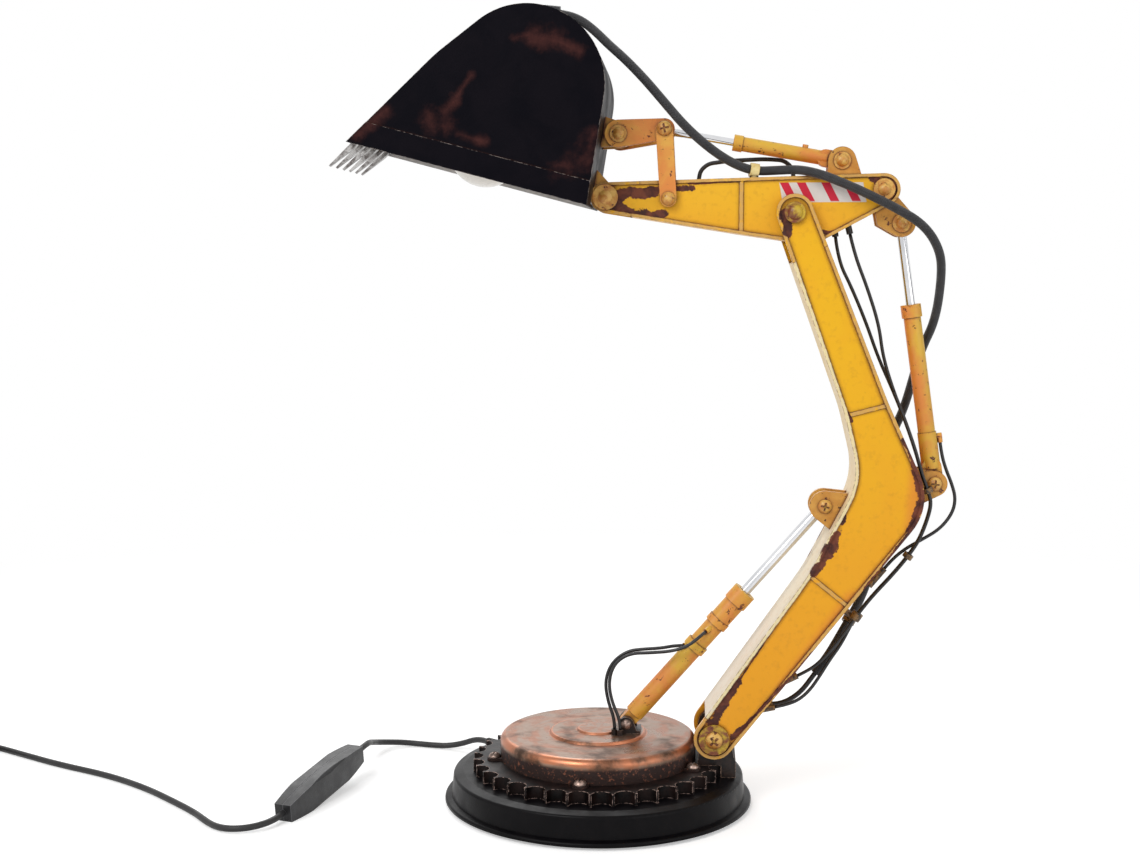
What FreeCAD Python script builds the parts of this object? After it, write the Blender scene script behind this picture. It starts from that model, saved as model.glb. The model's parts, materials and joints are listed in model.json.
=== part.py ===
import FreeCAD, Part
import math
import os

# Excavator table lamp. Millimetres, +Z up, origin on the desk under the middle of the round base.
# The arm lies in the XZ plane: the bucket with the bulb reaches towards -X, and the near side is -Y.

os.makedirs("parts", exist_ok=True)
Vec = FreeCAD.Vector
ALONG_Y = Vec(0, 1, 0)
UP = Vec(0, 0, 1)
FAR_OUT = 40.0
PAST_ARM = 60.0
PAST_LAMP = 300.0

# Pivots of the arm, as X and Z in the side plane
BOOM_FOOT = (70.0, 43.5)
BOOM_CYL_FOOT = (17.5, 48.0)
BOOM_CYL_PIN = (134.0, 182.0)
STICK_CYL_FOOT = (197.5, 196.0)
STICK_HINGE = (113.5, 353.5)
STICK_CYL_PIN = (175.5, 347.5)
TAIL_BOLT = (164.3, 366.5)
BUCKET_HINGE = (4.5, 362.5)
BUCKET_PIN = (12.0, 399.0)
ROCKER_PIN = (38.5, 401.5)
ROCKER_FOOT = (41.0, 361.5)
BUCKET_CYL_FOOT = (141.0, 383.5)

# Widths from the middle plane outwards, one on top of the other
BUCKET_EAR_INSIDE = 8.0
BUCKET_EAR_WALL = 3.0
LINK_GAP = 0.4
LINK_WALL = 3.0
STICK_EAR_GAP = 1.3
STICK_WALL = 1.7
STICK_LIP = 1.2
ROCKER_GAP = 0.6
ROCKER_WALL = 2.4
BOOM_SIDE_GAP = 1.3
BOOM_WALL = 2.0
BOOM_LIP = 1.5
FOOT_EAR_GAP = 0.5
FOOT_EAR_WALL = 3.2
BUCKET_EAR_OUTSIDE = BUCKET_EAR_INSIDE + BUCKET_EAR_WALL
LINK_INSIDE = BUCKET_EAR_OUTSIDE + LINK_GAP
LINK_OUTSIDE = LINK_INSIDE + LINK_WALL
STICK_INSIDE = BUCKET_EAR_OUTSIDE + STICK_EAR_GAP
STICK_SIDE = STICK_INSIDE + STICK_WALL
STICK_HALF = STICK_SIDE + STICK_LIP
ROCKER_INSIDE = STICK_HALF + ROCKER_GAP
ROCKER_OUTSIDE = ROCKER_INSIDE + ROCKER_WALL
BOOM_INSIDE = STICK_HALF + BOOM_SIDE_GAP
BOOM_SIDE = BOOM_INSIDE + BOOM_WALL
BOOM_HALF = BOOM_SIDE + BOOM_LIP
FOOT_EAR_OUTSIDE = BOOM_INSIDE - FOOT_EAR_GAP

# Flanges that close the two box beams
BOOM_FLANGE = 2.0
STICK_FLANGE = 1.8
SEAM_WIDTH = 2.2
SEAM_HEIGHT = 0.8

# Ears that hold the cylinders, and the eyes between them
EYE_HALF = 4.2
EAR_GAP = 0.4
EAR_WALL = 3.0
SMALL_EYE_HALF = 3.6
SMALL_EAR_WALL = 2.5
EAR_FACE = EYE_HALF + EAR_GAP + EAR_WALL
SMALL_EAR_FACE = SMALL_EYE_HALF + EAR_GAP + SMALL_EAR_WALL

# Pins, bores and their clearances
FOOT_BOLT_RADIUS = 3.0
HINGE_BOLT_RADIUS = 2.5
PIN_RADIUS = 2.0
PIN_PLAY = 0.06
ROD_PLAY = 0.08
BOOM_EYE_PLAY = 1.1
STICK_EYE_PLAY = 2.0
ROCKER_EYE_PLAY = 1.5
SLEEVE_WALL = 2.0
HEAD_SEAT = 0.3

# Base, from the desk upwards
PAD_THICKNESS = 2.0
PAD_RADIUS = 88.0
FOOT_RADIUS = 92.8
FOOT_HEIGHT = 3.0
WALL_FOOT_RADIUS = 88.8
RIM_RADIUS = 87.6
RIM_HEIGHT = 16.0
RIM_ROUND = 1.8
SEAT_RADIUS = 81.5
SEAT_HEIGHT = 19.4
BASE_WALL = 4.0
BALLAST_THICKNESS = 8.0
BALLAST_RADIUS = 71.5
CENTRE_BOLT_RADIUS = 4.0
CENTRE_HEAD_RADIUS = 7.0
CENTRE_HEAD_HEIGHT = 4.5
CENTRE_NUT_HEIGHT = 5.0
CENTRE_BOLT_END = 6.0

# Sprocket with half-inch pitch
SPROCKET_TEETH = 36
SPROCKET_PITCH = 12.7
SPROCKET_TIP_HEIGHT = 2.75
SPROCKET_SEAT = 5.9
SPROCKET_THICKNESS = 7.2
SPROCKET_BORE = 42.0

# Dish on the sprocket
DISH_RADIUS = 59.2
DISH_HEIGHT = 14.4
DISH_WALL = 1.6
DISH_SHOULDER = 4.2
PLATEAU_RADIUS = 28.5
PLATEAU_STEP = 1.6
HUB_RADIUS = 12.0
HUB_STEP = 1.2
STEP_ROUND = 0.7
STEP_FLARE = 1.0
TAB_COUNT = 5
TAB_FIRST_ANGLE = -96.0
TAB_LENGTH = 7.5
TAB_HALF_WIDTH = 4.6
TAB_THICKNESS = 1.6
SCREW_RADIUS = 2.0
SCREW_HEAD_RADIUS = 3.6
SCREW_HEAD_HEIGHT = 2.2
SCREW_BITE = 3.0

# Brackets under the boom and under its cylinder
FOOT_PLATE_FRONT = 60.4
FOOT_PLATE_BACK = 83.0
FOOT_PLATE_THICKNESS = 3.2
FOOT_EAR_RADIUS = 9.2
FOOT_SCREW_X = 66.5
FOOT_SCREW_Y = 7.5
FOOT_CABLE_X = 79.0
FOOT_CABLE_HOLE = 2.2
CYL_PLATE_REACH = (8.0, 8.5)
CYL_PLATE_THICKNESS = 1.6
CYL_EAR_RADIUS = 4.6

# Boom
BOOM_FOOT_END = 12.0
BOOM_HEAD_END = 10.6
BOOM_INNER_KNEE = (152.7, 199.2)
BOOM_OUTER_KNEE = (195.1, 184.9)
BOOM_INNER_KNEE_ROUND = 42.0
BOOM_OUTER_KNEE_ROUND = 32.0
BOOM_FRONT_LOW = (123.8, 142.4)
BOOM_FRONT_HIGH = (143.5, 238.0)
BOOM_BACK_HIGH = (168.2, 244.6)
BOOM_SLOW_BEND = 120.0
BOOM_FOOT_CUT = 9.0
BOOM_HEAD_CUT = 25.5
LOW_SEAM_Z = (143.2, 124.2)
HIGH_SEAM_Z = (236.3, 242.9)

# Stick
STICK_NOSE_END = 8.6
STICK_TAIL_END = 9.2
STICK_BELLY = (125.0, 335.0)
STICK_BELLY_ROUND = 14.0
STICK_BELLY_FRONT = (84.0, 341.0)
STICK_TOP_START = 20.0
STICK_BOTTOM_START = 15.0
STICK_SEAM_X = 83.0

# Bucket
BUCKET_HALF = 52.0
BUCKET_SHEET = 1.6
BUCKET_ROUND_CENTRE = (-37.8, 423.5)
BUCKET_ROUND = 44.0
BUCKET_LID_BEND = (-88.0, 440.8)
BUCKET_LID_ROUND = 120.0
BUCKET_TIP = (-139.3, 392.4)
BUCKET_HEEL = (-4.0, 356.7)
BUCKET_STRIP_WIDTH = 13.4
BUCKET_STRIP_HEIGHT = 0.8
BUCKET_LUG_RADIUS = 7.0
HEEL_NOTCH_RADIUS = 10.2
HEEL_NOTCH_GAP = 4.8
TOOTH_COUNT = 6
TOOTH_SIDE_ROOM = 7.0
TOOTH_SPACING = 2 * (BUCKET_HALF - TOOTH_SIDE_ROOM) / (TOOTH_COUNT - 1)
TOOTH_LENGTH = 17.0
TOOTH_OVERLAP = 8.0
TOOTH_ROOT_HALF = 2.6
TOOTH_TIP_HALF = 1.2
TOOTH_THICKNESS = 3.0
TOOTH_TIP_THICKNESS = 1.0

# Lamp holder and bulb inside the bucket
HOLDER_ANGLE = 48.0
HOLDER_FLANGE_RADIUS = 15.0
HOLDER_FLANGE = 7.0
HOLDER_RADIUS = 13.0
HOLDER_TAPER = 1.0
HOLDER_COLLAR = 1.4
HOLDER_LENGTH = 50.0
HOLDER_BORE = 7.6
HOLDER_DEPTH = 26.0
HOLDER_WIRE_ROOM = 3.1
RIVET_RADIUS = 1.5
RIVET_HEAD_RADIUS = 2.6
RIVET_HEAD_HEIGHT = 1.2
RIVET_Y = 10.0
CAP_RADIUS = 6.8
CAP_LENGTH = 20.0
GLOBE_RADIUS = 22.5
NECK_RADIUS = 9.0
BULB_REACH = 58.0

# Elbow gland on the back of the bucket
GLAND_ANGLE = 84.0
GLAND_Y = 10.0
GLAND_STUB = 4.0
GLAND_NUT_RADIUS = 7.5
GLAND_NUT_HEIGHT = 2.5
GLAND_RISE = 4.37
GLAND_SLEEVE_RADIUS = 4.5
GLAND_SLEEVE_LENGTH = 9.0
GLAND_CABLE_DEPTH = 2.96
LOCKNUT_ACROSS = 12.0
LOCKNUT_HEIGHT = 2.2
GLAND_STUB_END = 2.7

# Links beside the bucket
LINK_BUCKET_END = 7.9
LINK_ROCKER_END = 6.0
LINK_WEB = (19.0, 28.0)
LINK_WEB_THICKNESS = 5.0
ROCKER_HEAD_END = 5.0
ROCKER_FOOT_END = 4.8

# Hydraulic cylinders, measured from the foot pivot along the axis. A band is its radius and how far
# behind the front of the barrel it starts and ends. A port is its place along the axis, its
# direction, its length, and how far its outlet turns back along the barrel.
PORT_RADIUS = 1.7
BOOM_CYLINDER = {
    "barrel": 5.8, "start": 7.0, "length": 107.5, "gland": 10.0, "rod": 3.2, "bore_gap": 1.2,
    "bands": [(6.9, 47.0, 42.0), (6.9, 27.0, 22.5), (6.4, 22.5, 9.5), (7.2, 9.5, 0.0)],
    "ports": [(63.0, (-0.48, -0.5, 0.71), 8.5, 0.0), (82.8, (-0.75, -0.62, 0.2), 11.0, 0.0)],
    "eye": 4.4, "eye_half": EYE_HALF, "rod_eye": 6.4, "piston": 80.0,
}
STICK_CYLINDER = {
    "barrel": 5.0, "start": 8.5, "length": 105.5, "gland": 9.0, "rod": 2.7, "bore_gap": 1.1,
    "bands": [(5.5, 97.0, 75.5), (5.9, 7.5, 0.0)],
    "ports": [(27.0, (0.0, 0.0, -1.0), 8.4, 4.0)],
    "eye": 5.6, "eye_half": EYE_HALF, "rod_eye": 6.4, "piston": 76.0,
}
BUCKET_CYLINDER = {
    "barrel": 4.2, "start": 8.5, "length": 63.5, "gland": 7.0, "rod": 2.2, "bore_gap": 1.0,
    "bands": [(4.8, 5.5, 0.0)],
    "ports": [(22.0, (0.0, 0.0, -1.0), 5.8, 0.0)],
    "eye": 5.0, "eye_half": SMALL_EYE_HALF, "rod_eye": 5.2, "piston": 38.0,
}
PISTON_LENGTH = 5.0
PISTON_PLAY = 0.12

# Cables and hoses
CABLE_RADIUS = 2.6
LEAD_RADIUS = 1.5
HOSE_RADIUS = 1.0
HOSE_SPACING = 1.1
RAIL_RADIUS = 1.25
CORD_RADIUS = 1.9
CLIP_GAP = 0.15
CLIP_WALL = 1.3
CLIP_WIDTH = 5.0
BAND_RADIUS = 3.0
BAND_BORE = 2.3
BAND_WIDTH = 3.0
SOCKET_RADIUS = 1.9

# Mains entry in the wall of the base
EXIT_ANGLE = 135.0
EXIT_HEIGHT = 10.4
RELIEF_NECK = 3.7
RELIEF_FLANGE = 4.9
RELIEF_TIP = 2.7
RELIEF_LENGTH = 21.0
RELIEF_CORD_PLAY = 0.1
INNER_CORD_END = 105.0
TERMINAL_CENTRE = 60.0
TERMINAL_SIZE = (16.0, 20.0, 9.0)
NOTCH_WIDTH = 22.0
NOTCH_START = 34.0

# Switch in the mains cord
SWITCH_CENTRE = (-167.4, -17.0)
SWITCH_YAW = 71.95
SWITCH_TILT = 8.0
SWITCH_HALF_LENGTH = 43.0
SWITCH_HALF_HEIGHT = 8.8
SWITCH_END_HEIGHT = 5.2
SWITCH_HALF_THICKNESS = 7.2
SWITCH_END_THICKNESS = 5.4
SWITCH_EDGE_ROUND = 2.2
FLOOR_GAP = 0.05
ROCKER_KEY_SINK = 4.0
ROCKER_KEY_PIVOT = SWITCH_HALF_THICKNESS - ROCKER_KEY_SINK
ROCKER_KEY_LENGTH = 8.0
ROCKER_KEY_HEIGHT = 3.8
ROCKER_KEY_TILT = 7.0
ROCKER_KEY_CREST = 3.9
ROCKER_KEY_PIN = 1.2
ROCKER_KEY_GAP = 0.5
ROCKER_POCKET_DEPTH = 2.6

# Coil of spare cord and its plug
COIL_CENTRE = (-440.0, 52.0)
COIL_START_ANGLE = 70.0
COIL_LAYERS = 4
COIL_TURNS_PER_LAYER = 2.25
COIL_INNER = 16.1
COIL_OUTER = 25.8
COIL_STEP = 4.3
COIL_LOWEST = 1.95
PLUG_HALF_THICKNESS = 6.85
PLUG_HALF_WIDTH = 17.65
PLUG_LENGTH = 48.0
PLUG_SHOULDER = 13.0
PLUG_PIN_RADIUS = 2.0
PLUG_PIN_LENGTH = 19.0
PLUG_PIN_SPACING = 18.6

# Routes of the cables, as the corners that their bends are rounded in
LAMP_CABLE = [
    (-29.8, 10, 471.3), (-20.6, 10, 470.33), (-11.2, 9.0, 466.8), (-2.4, 5.4, 459.6), (5.6, -0.6, 451.2),
    (15.2, -8.6, 442.2), (27.0, -17.4, 429.5), (38.5, -22.6, 415.8), (50.0, -23.6, 402.4),
    (63.6, -21.4, 390.4), (77.0, -15.8, 381.8), (90.1, -11.0, 377.2), (103.5, -11.4, 377.7),
    (116.0, -15.8, 378.0), (127.8, -20.4, 375.0), (139.1, -21.8, 370.4), (149.8, -22, 365.8),
    (169.7, -21, 356.2), (187.3, -17, 346.1), (197.1, -11, 332.0), (199.6, -3, 317.7),
    (198.0, 7, 291.3), (190.6, 13, 273.3), (186.2, 18, 253.1), (182.2, 22, 236.7), (176, 24.6, 222),
    (171.3, 25.0, 206), (168.4, 24.4, 190), (165.0, 24.2, 172), (161.6, 24.3, 157),
    (163.8, 24.6, 146.0), (163.0, 20.6, 133.4), (157.6, 14.2, 121.8), (151.0, 8.6, 111.4),
    (145.0, 4.2, 102.1), (139.8, 1.4, 93.6), (134.9, 0, 86.6), (130.3, 0, 80.0),
]
LAMP_CABLE_CUTS = (11, 23)
STICK_CLIP_BEND = 11
SIDE_CLIP_BENDS = (26, 28)
LOW_CLIP_BEND = 33
BOOM_LEAD = [
    (130.3, 0, 80), (126.9, 0, 75.1), (122.9, 0, 69.6), (118.0, 0, 65.2), (112.6, 0, 62.0),
    (107.0, 0, 60.5), (101.5, 0, 60.5),
]
LEAD_BEND = [
    (101.5, 0, 60.5), (93.3, 0, 60.5), (85.8, 0, 56.6), (80.6, 0, 49.4), (79, 0, 40.0), (79, 0, 30.6),
]
BASE_LEAD = [
    (79, 0, 30.6), (79, 0, 22.2), (78.4, 0, 13.6), (74.4, 0, 7.2), (67.2, 1.0, 4.6), (54, 4.6, 4.45),
    (30, 12.5, 4.5), (6, 19.6, 4.6), (-11, 25.4, 4.7), (-22.5, 29.0, 5.8), (-30.4, 33.0, 8.0),
    (-36.77, 36.77, 9.2),
]
BUCKET_LEAD = [(-33.65, 10, 462.98), (-34.0, 9.4, 458.2), (-32.0, 8.0, 453.9), (-29.2, 6.4, 450.5)]
HOSE_PAIR = [
    (172.8, -3, 250.6), (179.5, -8, 233.4), (185.6, -12.5, 215.2), (189.1, -14, 202),
    (192.6, -14, 193.2), (195.2, -12, 185.4), (193.3, -9, 174.9), (189.3, -6, 162.4),
    (183.4, -4, 152.5), (174.8, -4, 141.6), (162.7, -5, 128.4), (153.4, -6, 116.4),
]
HOSE_ONE_TOP = [
    (138.4, 1.2, 339.8), (140.2, 1.2, 326.0), (148.4, 1.2, 310), (157.5, 1.2, 288.5), (164.2, 1.2, 269.7),
]
HOSE_ONE_END = [
    (149.6, -4, 108.1), (144.8, -4, 98.3), (138.4, -4.2, 89.0), (132.9, -4.4, 79.6),
    (127.3, -4.6, 71.0), (121.0, -5.6, 65.2), (113.4, -7.2, 62.2), (106.0, -8.0, 60.8),
]
HOSE_TWO_TOP = [
    (146.2, -5, 341.3), (149.2, -5, 329.0), (156.6, -4.5, 310.7), (164, -3.5, 288.6),
    (166.6, -2.3, 270.5),
]
HOSE_TWO_END = [
    (147, -7, 106.9), (140.7, -7, 98.0), (133.8, -7, 89.9), (126.8, -7, 83.7), (119.4, -7, 80.0),
]
HOSE_CUT = 5
PAIR_BAND_BENDS = (9, 13)
KNEE_HOSE = [
    (201.12, 0, 219.76), (202.2, 0, 212.4), (204.8, 0, 203.9), (208.4, -0.3, 195.3),
    (210.8, -1, 186.6), (209.0, -1.5, 177.8), (201.9, -1.7, 168.4), (190.9, -1.6, 161.6),
    (182.2, -1.8, 156.6), (174.8, -2.4, 150.6), (169.8, -3, 144.7),
]
CYLINDER_HOSE_LOW = [
    (64.69, -6.88, 105.66), (61.5, -9.9, 103.5), (54.5, -12, 98), (45, -11.5, 94.5), (32, -11, 93.2),
    (19, -10.5, 92.5), (10, -10, 85.8), (6.8, -10, 74.5), (8.9, -10, 62.5), (14, -12, 52),
    (14, -12, 46),
]
CYLINDER_HOSE_HIGH = [
    (51.54, -4.29, 96.43), (46.5, -7.3, 97), (38, -8.3, 95.5), (28, -8.3, 94.8), (18, -8.2, 93.5),
    (8.5, -7.8, 86), (4.5, -7.8, 74.5), (6.5, -7.8, 62), (10.5, -9.7, 52), (10.5, -9.7, 46),
]
STICK_RAIL = [
    (58.0, 5, 370.0), (59.4, 5, 378.6), (64.0, 5, 382.6), (75.5, 5, 384.2), (97, 5, 385.2),
    (108, 5, 384.4), (113.0, 5, 380.2), (114.2, 5, 372.0),
]
CORD_TO_SWITCH = [
    (-74.25, 74.25, 10.4), (-80.6, 80.6, 10.4), (-87.6, 87.0, 8.6), (-95.6, 90.6, 4.8),
    (-106.5, 92.6, 2.2), (-119, 95.0, 1.95), (-128.8, 97.0, 2.1), (-137.2, 95.8, 3.0),
    (-144.6, 91.4, 4.3), (-149.9, 84.8, 6.1), (-152.6, 75.3, 8.8), (-152.4, 62.4, 12.6),
    (-151.0, 49.4, 16.3),
]
CORD_FROM_SWITCH = [
    (-187.2, -71.9, 3.8), (-195.2, -78.0, 3.2), (-205.6, -79.3, 2.6), (-215.2, -74.9, 2.1),
    (-223.6, -66.2, 1.95), (-235.0, -51.5, 1.95), (-252, -34.5, 1.95), (-279, -9, 1.95),
    (-312, 14.5, 1.95), (-350, 33, 1.95), (-383, 53.0, 1.95),
]
CORD_TO_PLUG = [
    (-450.6, 80.6, 14.4), (-462.6, 76.6, 13.0), (-470.9, 67.4, 11.0), (-474.8, 55.6, 8.9),
    (-475.5, 43.5, 6.9), (-475.5, 33.0, 6.9),
]


def point(place, y=0.0):
    """A point of the side plane, moved to the width y."""
    return Vec(place[0], y, place[1])


def along(start, angle, length):
    """The point at a length and an angle in degrees from a start in the side plane."""
    turn = math.radians(angle)
    return (start[0] + length * math.cos(turn), start[1] + length * math.sin(turn))


def angle_of(start, end):
    return math.degrees(math.atan2(end[1] - start[1], end[0] - start[0]))


def distance(start, end):
    return math.hypot(end[0] - start[0], end[1] - start[1])


def tangent_ends(first, second):
    """The straight line that touches two round ends, given as (place, radius), on their right."""
    (start, start_radius), (end, end_radius) = first, second
    gap = distance(start, end)
    normal = angle_of(start, end) - 90 + math.degrees(math.asin((start_radius - end_radius) / gap))
    return along(start, normal, start_radius), along(end, normal, end_radius)


def outline(stations):
    """A closed wire, counter-clockwise in X and Z. ("end", place, radius) goes round a boss,
    and ("corner", place, radius) is a corner with a round."""
    count = len(stations)
    lines = []
    for n, (kind, place, radius) in enumerate(stations):
        next_kind, next_place, next_radius = stations[(n + 1) % count]
        start_radius = radius if kind == "end" else 0.0
        end_radius = next_radius if next_kind == "end" else 0.0
        lines.append(list(tangent_ends((place, start_radius), (next_place, end_radius))))
    arcs = []
    for n, (kind, place, radius) in enumerate(stations):
        before, after = lines[n - 1], lines[n]
        if kind == "end":
            start_angle = angle_of(place, before[1])
            turn = (angle_of(place, after[0]) - start_angle) % 360
            arcs.append((before[1], along(place, start_angle + turn / 2, radius), after[0]))
            continue
        if radius == 0:
            arcs.append(None)
            continue
        turn = (angle_of(*after) - angle_of(*before) + 180) % 360 - 180
        reach = radius * math.tan(math.radians(abs(turn)) / 2)
        start = along(place, angle_of(place, before[0]), reach)
        end = along(place, angle_of(*after), reach)
        side = 90 if turn > 0 else -90
        centre = along(start, angle_of(*before) + side, radius)
        middle = along(centre, angle_of(centre, place), radius)
        before[1], after[0] = start, end
        arcs.append((start, middle, end))
    edges = []
    for n in range(count):
        if arcs[n]:
            edges.append(Part.Arc(*[point(p) for p in arcs[n]]).toShape())
        edges.append(Part.LineSegment(point(lines[n][0]), point(lines[n][1])).toShape())
    return Part.Wire(Part.__sortEdges__(edges))


def polygon(corners):
    return outline([("corner", corner, 0.0) for corner in corners])


def slab(wire, low, high):
    """A plate between two widths, from an outline in the side plane."""
    face = Part.Face(wire)
    face.translate(Vec(0, low, 0))
    return face.extrude(Vec(0, high - low, 0))


def rod_across(place, radius, low, high):
    """A round bar along Y."""
    return Part.makeCylinder(radius, high - low, point(place, low), ALONG_Y)


def bored(shape, place, radius):
    """Drills a shape along Y at a pivot."""
    return shape.cut(rod_across(place, radius, -FAR_OUT, FAR_OUT))


def half_space(start, end):
    """A big block on the right of the line from start to end."""
    angle = angle_of(start, end)
    size = 2 * PAST_LAMP
    low = along(start, angle, -size)
    high = along(start, angle, size)
    corners = [low, high, along(high, angle - 90, size), along(low, angle - 90, size)]
    return slab(polygon(list(reversed(corners))), -PAST_LAMP, PAST_LAMP)


def both_sides(shape):
    """A piece and its mirror image on the far side."""
    return [shape, shape.mirror(Vec(0, 0, 0), ALONG_Y)]


def biggest(shape):
    return max(shape.Solids, key=lambda solid: solid.Volume)


def turned(profile):
    """A solid of revolution about Z, from (radius, height) points and arcs given by middle and end."""
    edges = []
    here = None
    for item in profile:
        there = Vec(item[-2], 0, item[-1])
        if len(item) == 4:
            edges.append(Part.Arc(here, Vec(item[0], 0, item[1]), there).toShape())
        elif here is not None and here.distanceToPoint(there) > 1e-6:
            edges.append(Part.LineSegment(here, there).toShape())
        here = there
    return Part.Face(Part.Wire(edges)).revolve(Vec(0, 0, 0), UP, 360)


def rounded(start, corner, end, radius):
    """Where a round begins between two legs of a profile, and its middle and end for turned()."""
    first = angle_of(corner, start)
    last = angle_of(corner, end)
    turn = math.radians((last - first + 180) % 360 - 180)
    reach = radius / math.tan(abs(turn) / 2)
    begin = along(corner, first, reach)
    finish = along(corner, last, reach)
    bisector = math.degrees(math.radians(first) + turn / 2)
    middle = along(corner, bisector, radius / math.sin(abs(turn) / 2) - radius)
    return begin, (middle[0], middle[1], finish[0], finish[1])


def place_along(shape, start, direction):
    """Stands a solid that was made along +Z at a point, with its axis along a direction."""
    shape = shape.copy()
    shape.Placement = FreeCAD.Placement(start, FreeCAD.Rotation(UP, direction))
    return shape


def rod_along(start, direction, radius, length):
    return Part.makeCylinder(radius, length, start, direction)


def domed_head(radius, height, centre, direction):
    """A low round head that stands on a seat."""
    ball_radius = (radius ** 2 + height ** 2) / (2 * height)
    head = Part.makeCylinder(radius, height)
    return place_along(head.common(Part.makeSphere(ball_radius, UP * (height - ball_radius))), centre, direction)


def hexagon(place, across, low, high):
    corners = [along(place, 30 + 60 * n, across / math.sqrt(3)) for n in range(6)]
    return slab(polygon(corners), low, high)


def bolt(place, radius, face, head_radius, head_height, boss_radius=0.0, boss_height=0.0):
    """A bolt across the arm with a domed head on the near side and a nut on the far side."""
    seat = -face
    shaft = rod_across(place, radius, seat - HEAD_SEAT, face + radius * 1.6)
    if boss_radius:
        shaft = shaft.fuse(rod_across(place, boss_radius, seat - boss_height, seat))
        seat -= boss_height
    head = domed_head(head_radius, head_height, point(place, seat), ALONG_Y * -1)
    nut = bored(hexagon(place, radius * 3.4, face, face + radius * 1.5), place, radius)
    return [shaft.fuse(head).removeSplitter(), nut]


def tube(corners, radius, name, cuts=()):
    """A tube on straight runs joined by tangent arcs, cut square in the middle of the given runs.
    Its least bend and its volume against section times length are printed."""
    corners = [Vec(*c) for c in corners]
    runs = [(b - a).Length for a, b in zip(corners, corners[1:])]
    pieces = [[]]
    radii = []
    here = corners[0]
    for n in range(len(runs)):
        last = n == len(runs) - 1
        begin = corners[-1]
        if not last:
            back = (corners[n] - corners[n + 1]).normalize()
            ahead = (corners[n + 2] - corners[n + 1]).normalize()
            half_turn = (math.pi - back.getAngle(ahead)) / 2
            reach = 0.45 * min(runs[n], runs[n + 1])
            begin = corners[n + 1] + back * reach
        if n in cuts:
            middle = (corners[n] + corners[n + 1]) / 2
            pieces[-1].append(Part.LineSegment(here, middle).toShape())
            pieces.append([])
            here = middle
        pieces[-1].append(Part.LineSegment(here, begin).toShape())
        if last:
            break
        bend = reach / math.tan(half_turn)
        finish = corners[n + 1] + ahead * reach
        inwards = (back + ahead).normalize()
        crown = corners[n + 1] + inwards * (bend / math.cos(half_turn) - bend)
        pieces[-1].append(Part.Arc(begin, crown, finish).toShape())
        radii.append(bend)
        here = finish
    solids = []
    for edges in pieces:
        path = Part.Wire(edges)
        start = path.Edges[0].Vertexes[0].Point
        circle = Part.Circle(start, path.Edges[0].Vertexes[1].Point - start, radius).toShape()
        solid = path.makePipeShell([Part.Wire(circle)], True, False)
        solids.append(solid)
        print(name, "length %.0f, volume %.4f of section times length" % (
            path.Length, solid.Volume / (math.pi * radius ** 2 * path.Length)))
    print(name, "bend radii", " ".join("%.0f" % bend for bend in radii))
    return solids


def bend_middle(corners, n):
    """The middle of the rounded bend at a corner of a route, and its direction there."""
    before, here, after = [Vec(*c) for c in corners[n - 1:n + 2]]
    reach = 0.45 * min((here - before).Length, (after - here).Length)
    back = (before - here).normalize()
    ahead = (after - here).normalize()
    half_turn = (math.pi - back.getAngle(ahead)) / 2
    inwards = (back + ahead).normalize()
    bend = reach / math.tan(half_turn)
    return here + inwards * (bend / math.cos(half_turn) - bend), (ahead - back).normalize()


def ring(middle, direction, outer, inner, width):
    start = middle - direction * (width / 2)
    return rod_along(start, direction, outer, width).cut(rod_along(start, direction, inner, width))


def saddle(corners, n, radius, towards, reach, body):
    """A clip round a cable at one of its bends, on a post that stands on a body."""
    middle, direction = bend_middle(corners, n)
    bore = rod_along(middle - direction * CLIP_WIDTH, direction, radius + CLIP_GAP, 2 * CLIP_WIDTH)
    clip = ring(middle, direction, radius + CLIP_GAP + CLIP_WALL, radius + CLIP_GAP, CLIP_WIDTH)
    post = rod_along(middle, towards, CLIP_WIDTH / 2, reach).cut(bore)
    return biggest(clip.fuse(post).cut(body).removeSplitter())


def socket(route_end, before, body):
    """A short stub on a body that the end of a hose meets face to face."""
    end = Vec(*route_end)
    direction = (end - Vec(*before)).normalize()
    stub = rod_along(end, direction, SOCKET_RADIUS, 14.0).cut(body)
    return min(stub.Solids, key=lambda solid: solid.CenterOfMass.distanceToPoint(end))


def save(name, *shapes):
    """Writes one node, either a single solid or a group of separate ones."""
    solids = [solid for shape in shapes for solid in shape.Solids]
    shape = solids[0] if len(solids) == 1 else Part.makeCompound(solids)
    shape.exportStep("parts/%s.step" % name)


# Base and turntable


def felt_pad():
    return Part.makeCylinder(PAD_RADIUS, PAD_THICKNESS)


def polar(radius, angle, z=0.0):
    turn = math.radians(angle)
    return Vec(radius * math.cos(turn), radius * math.sin(turn), z)


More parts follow.
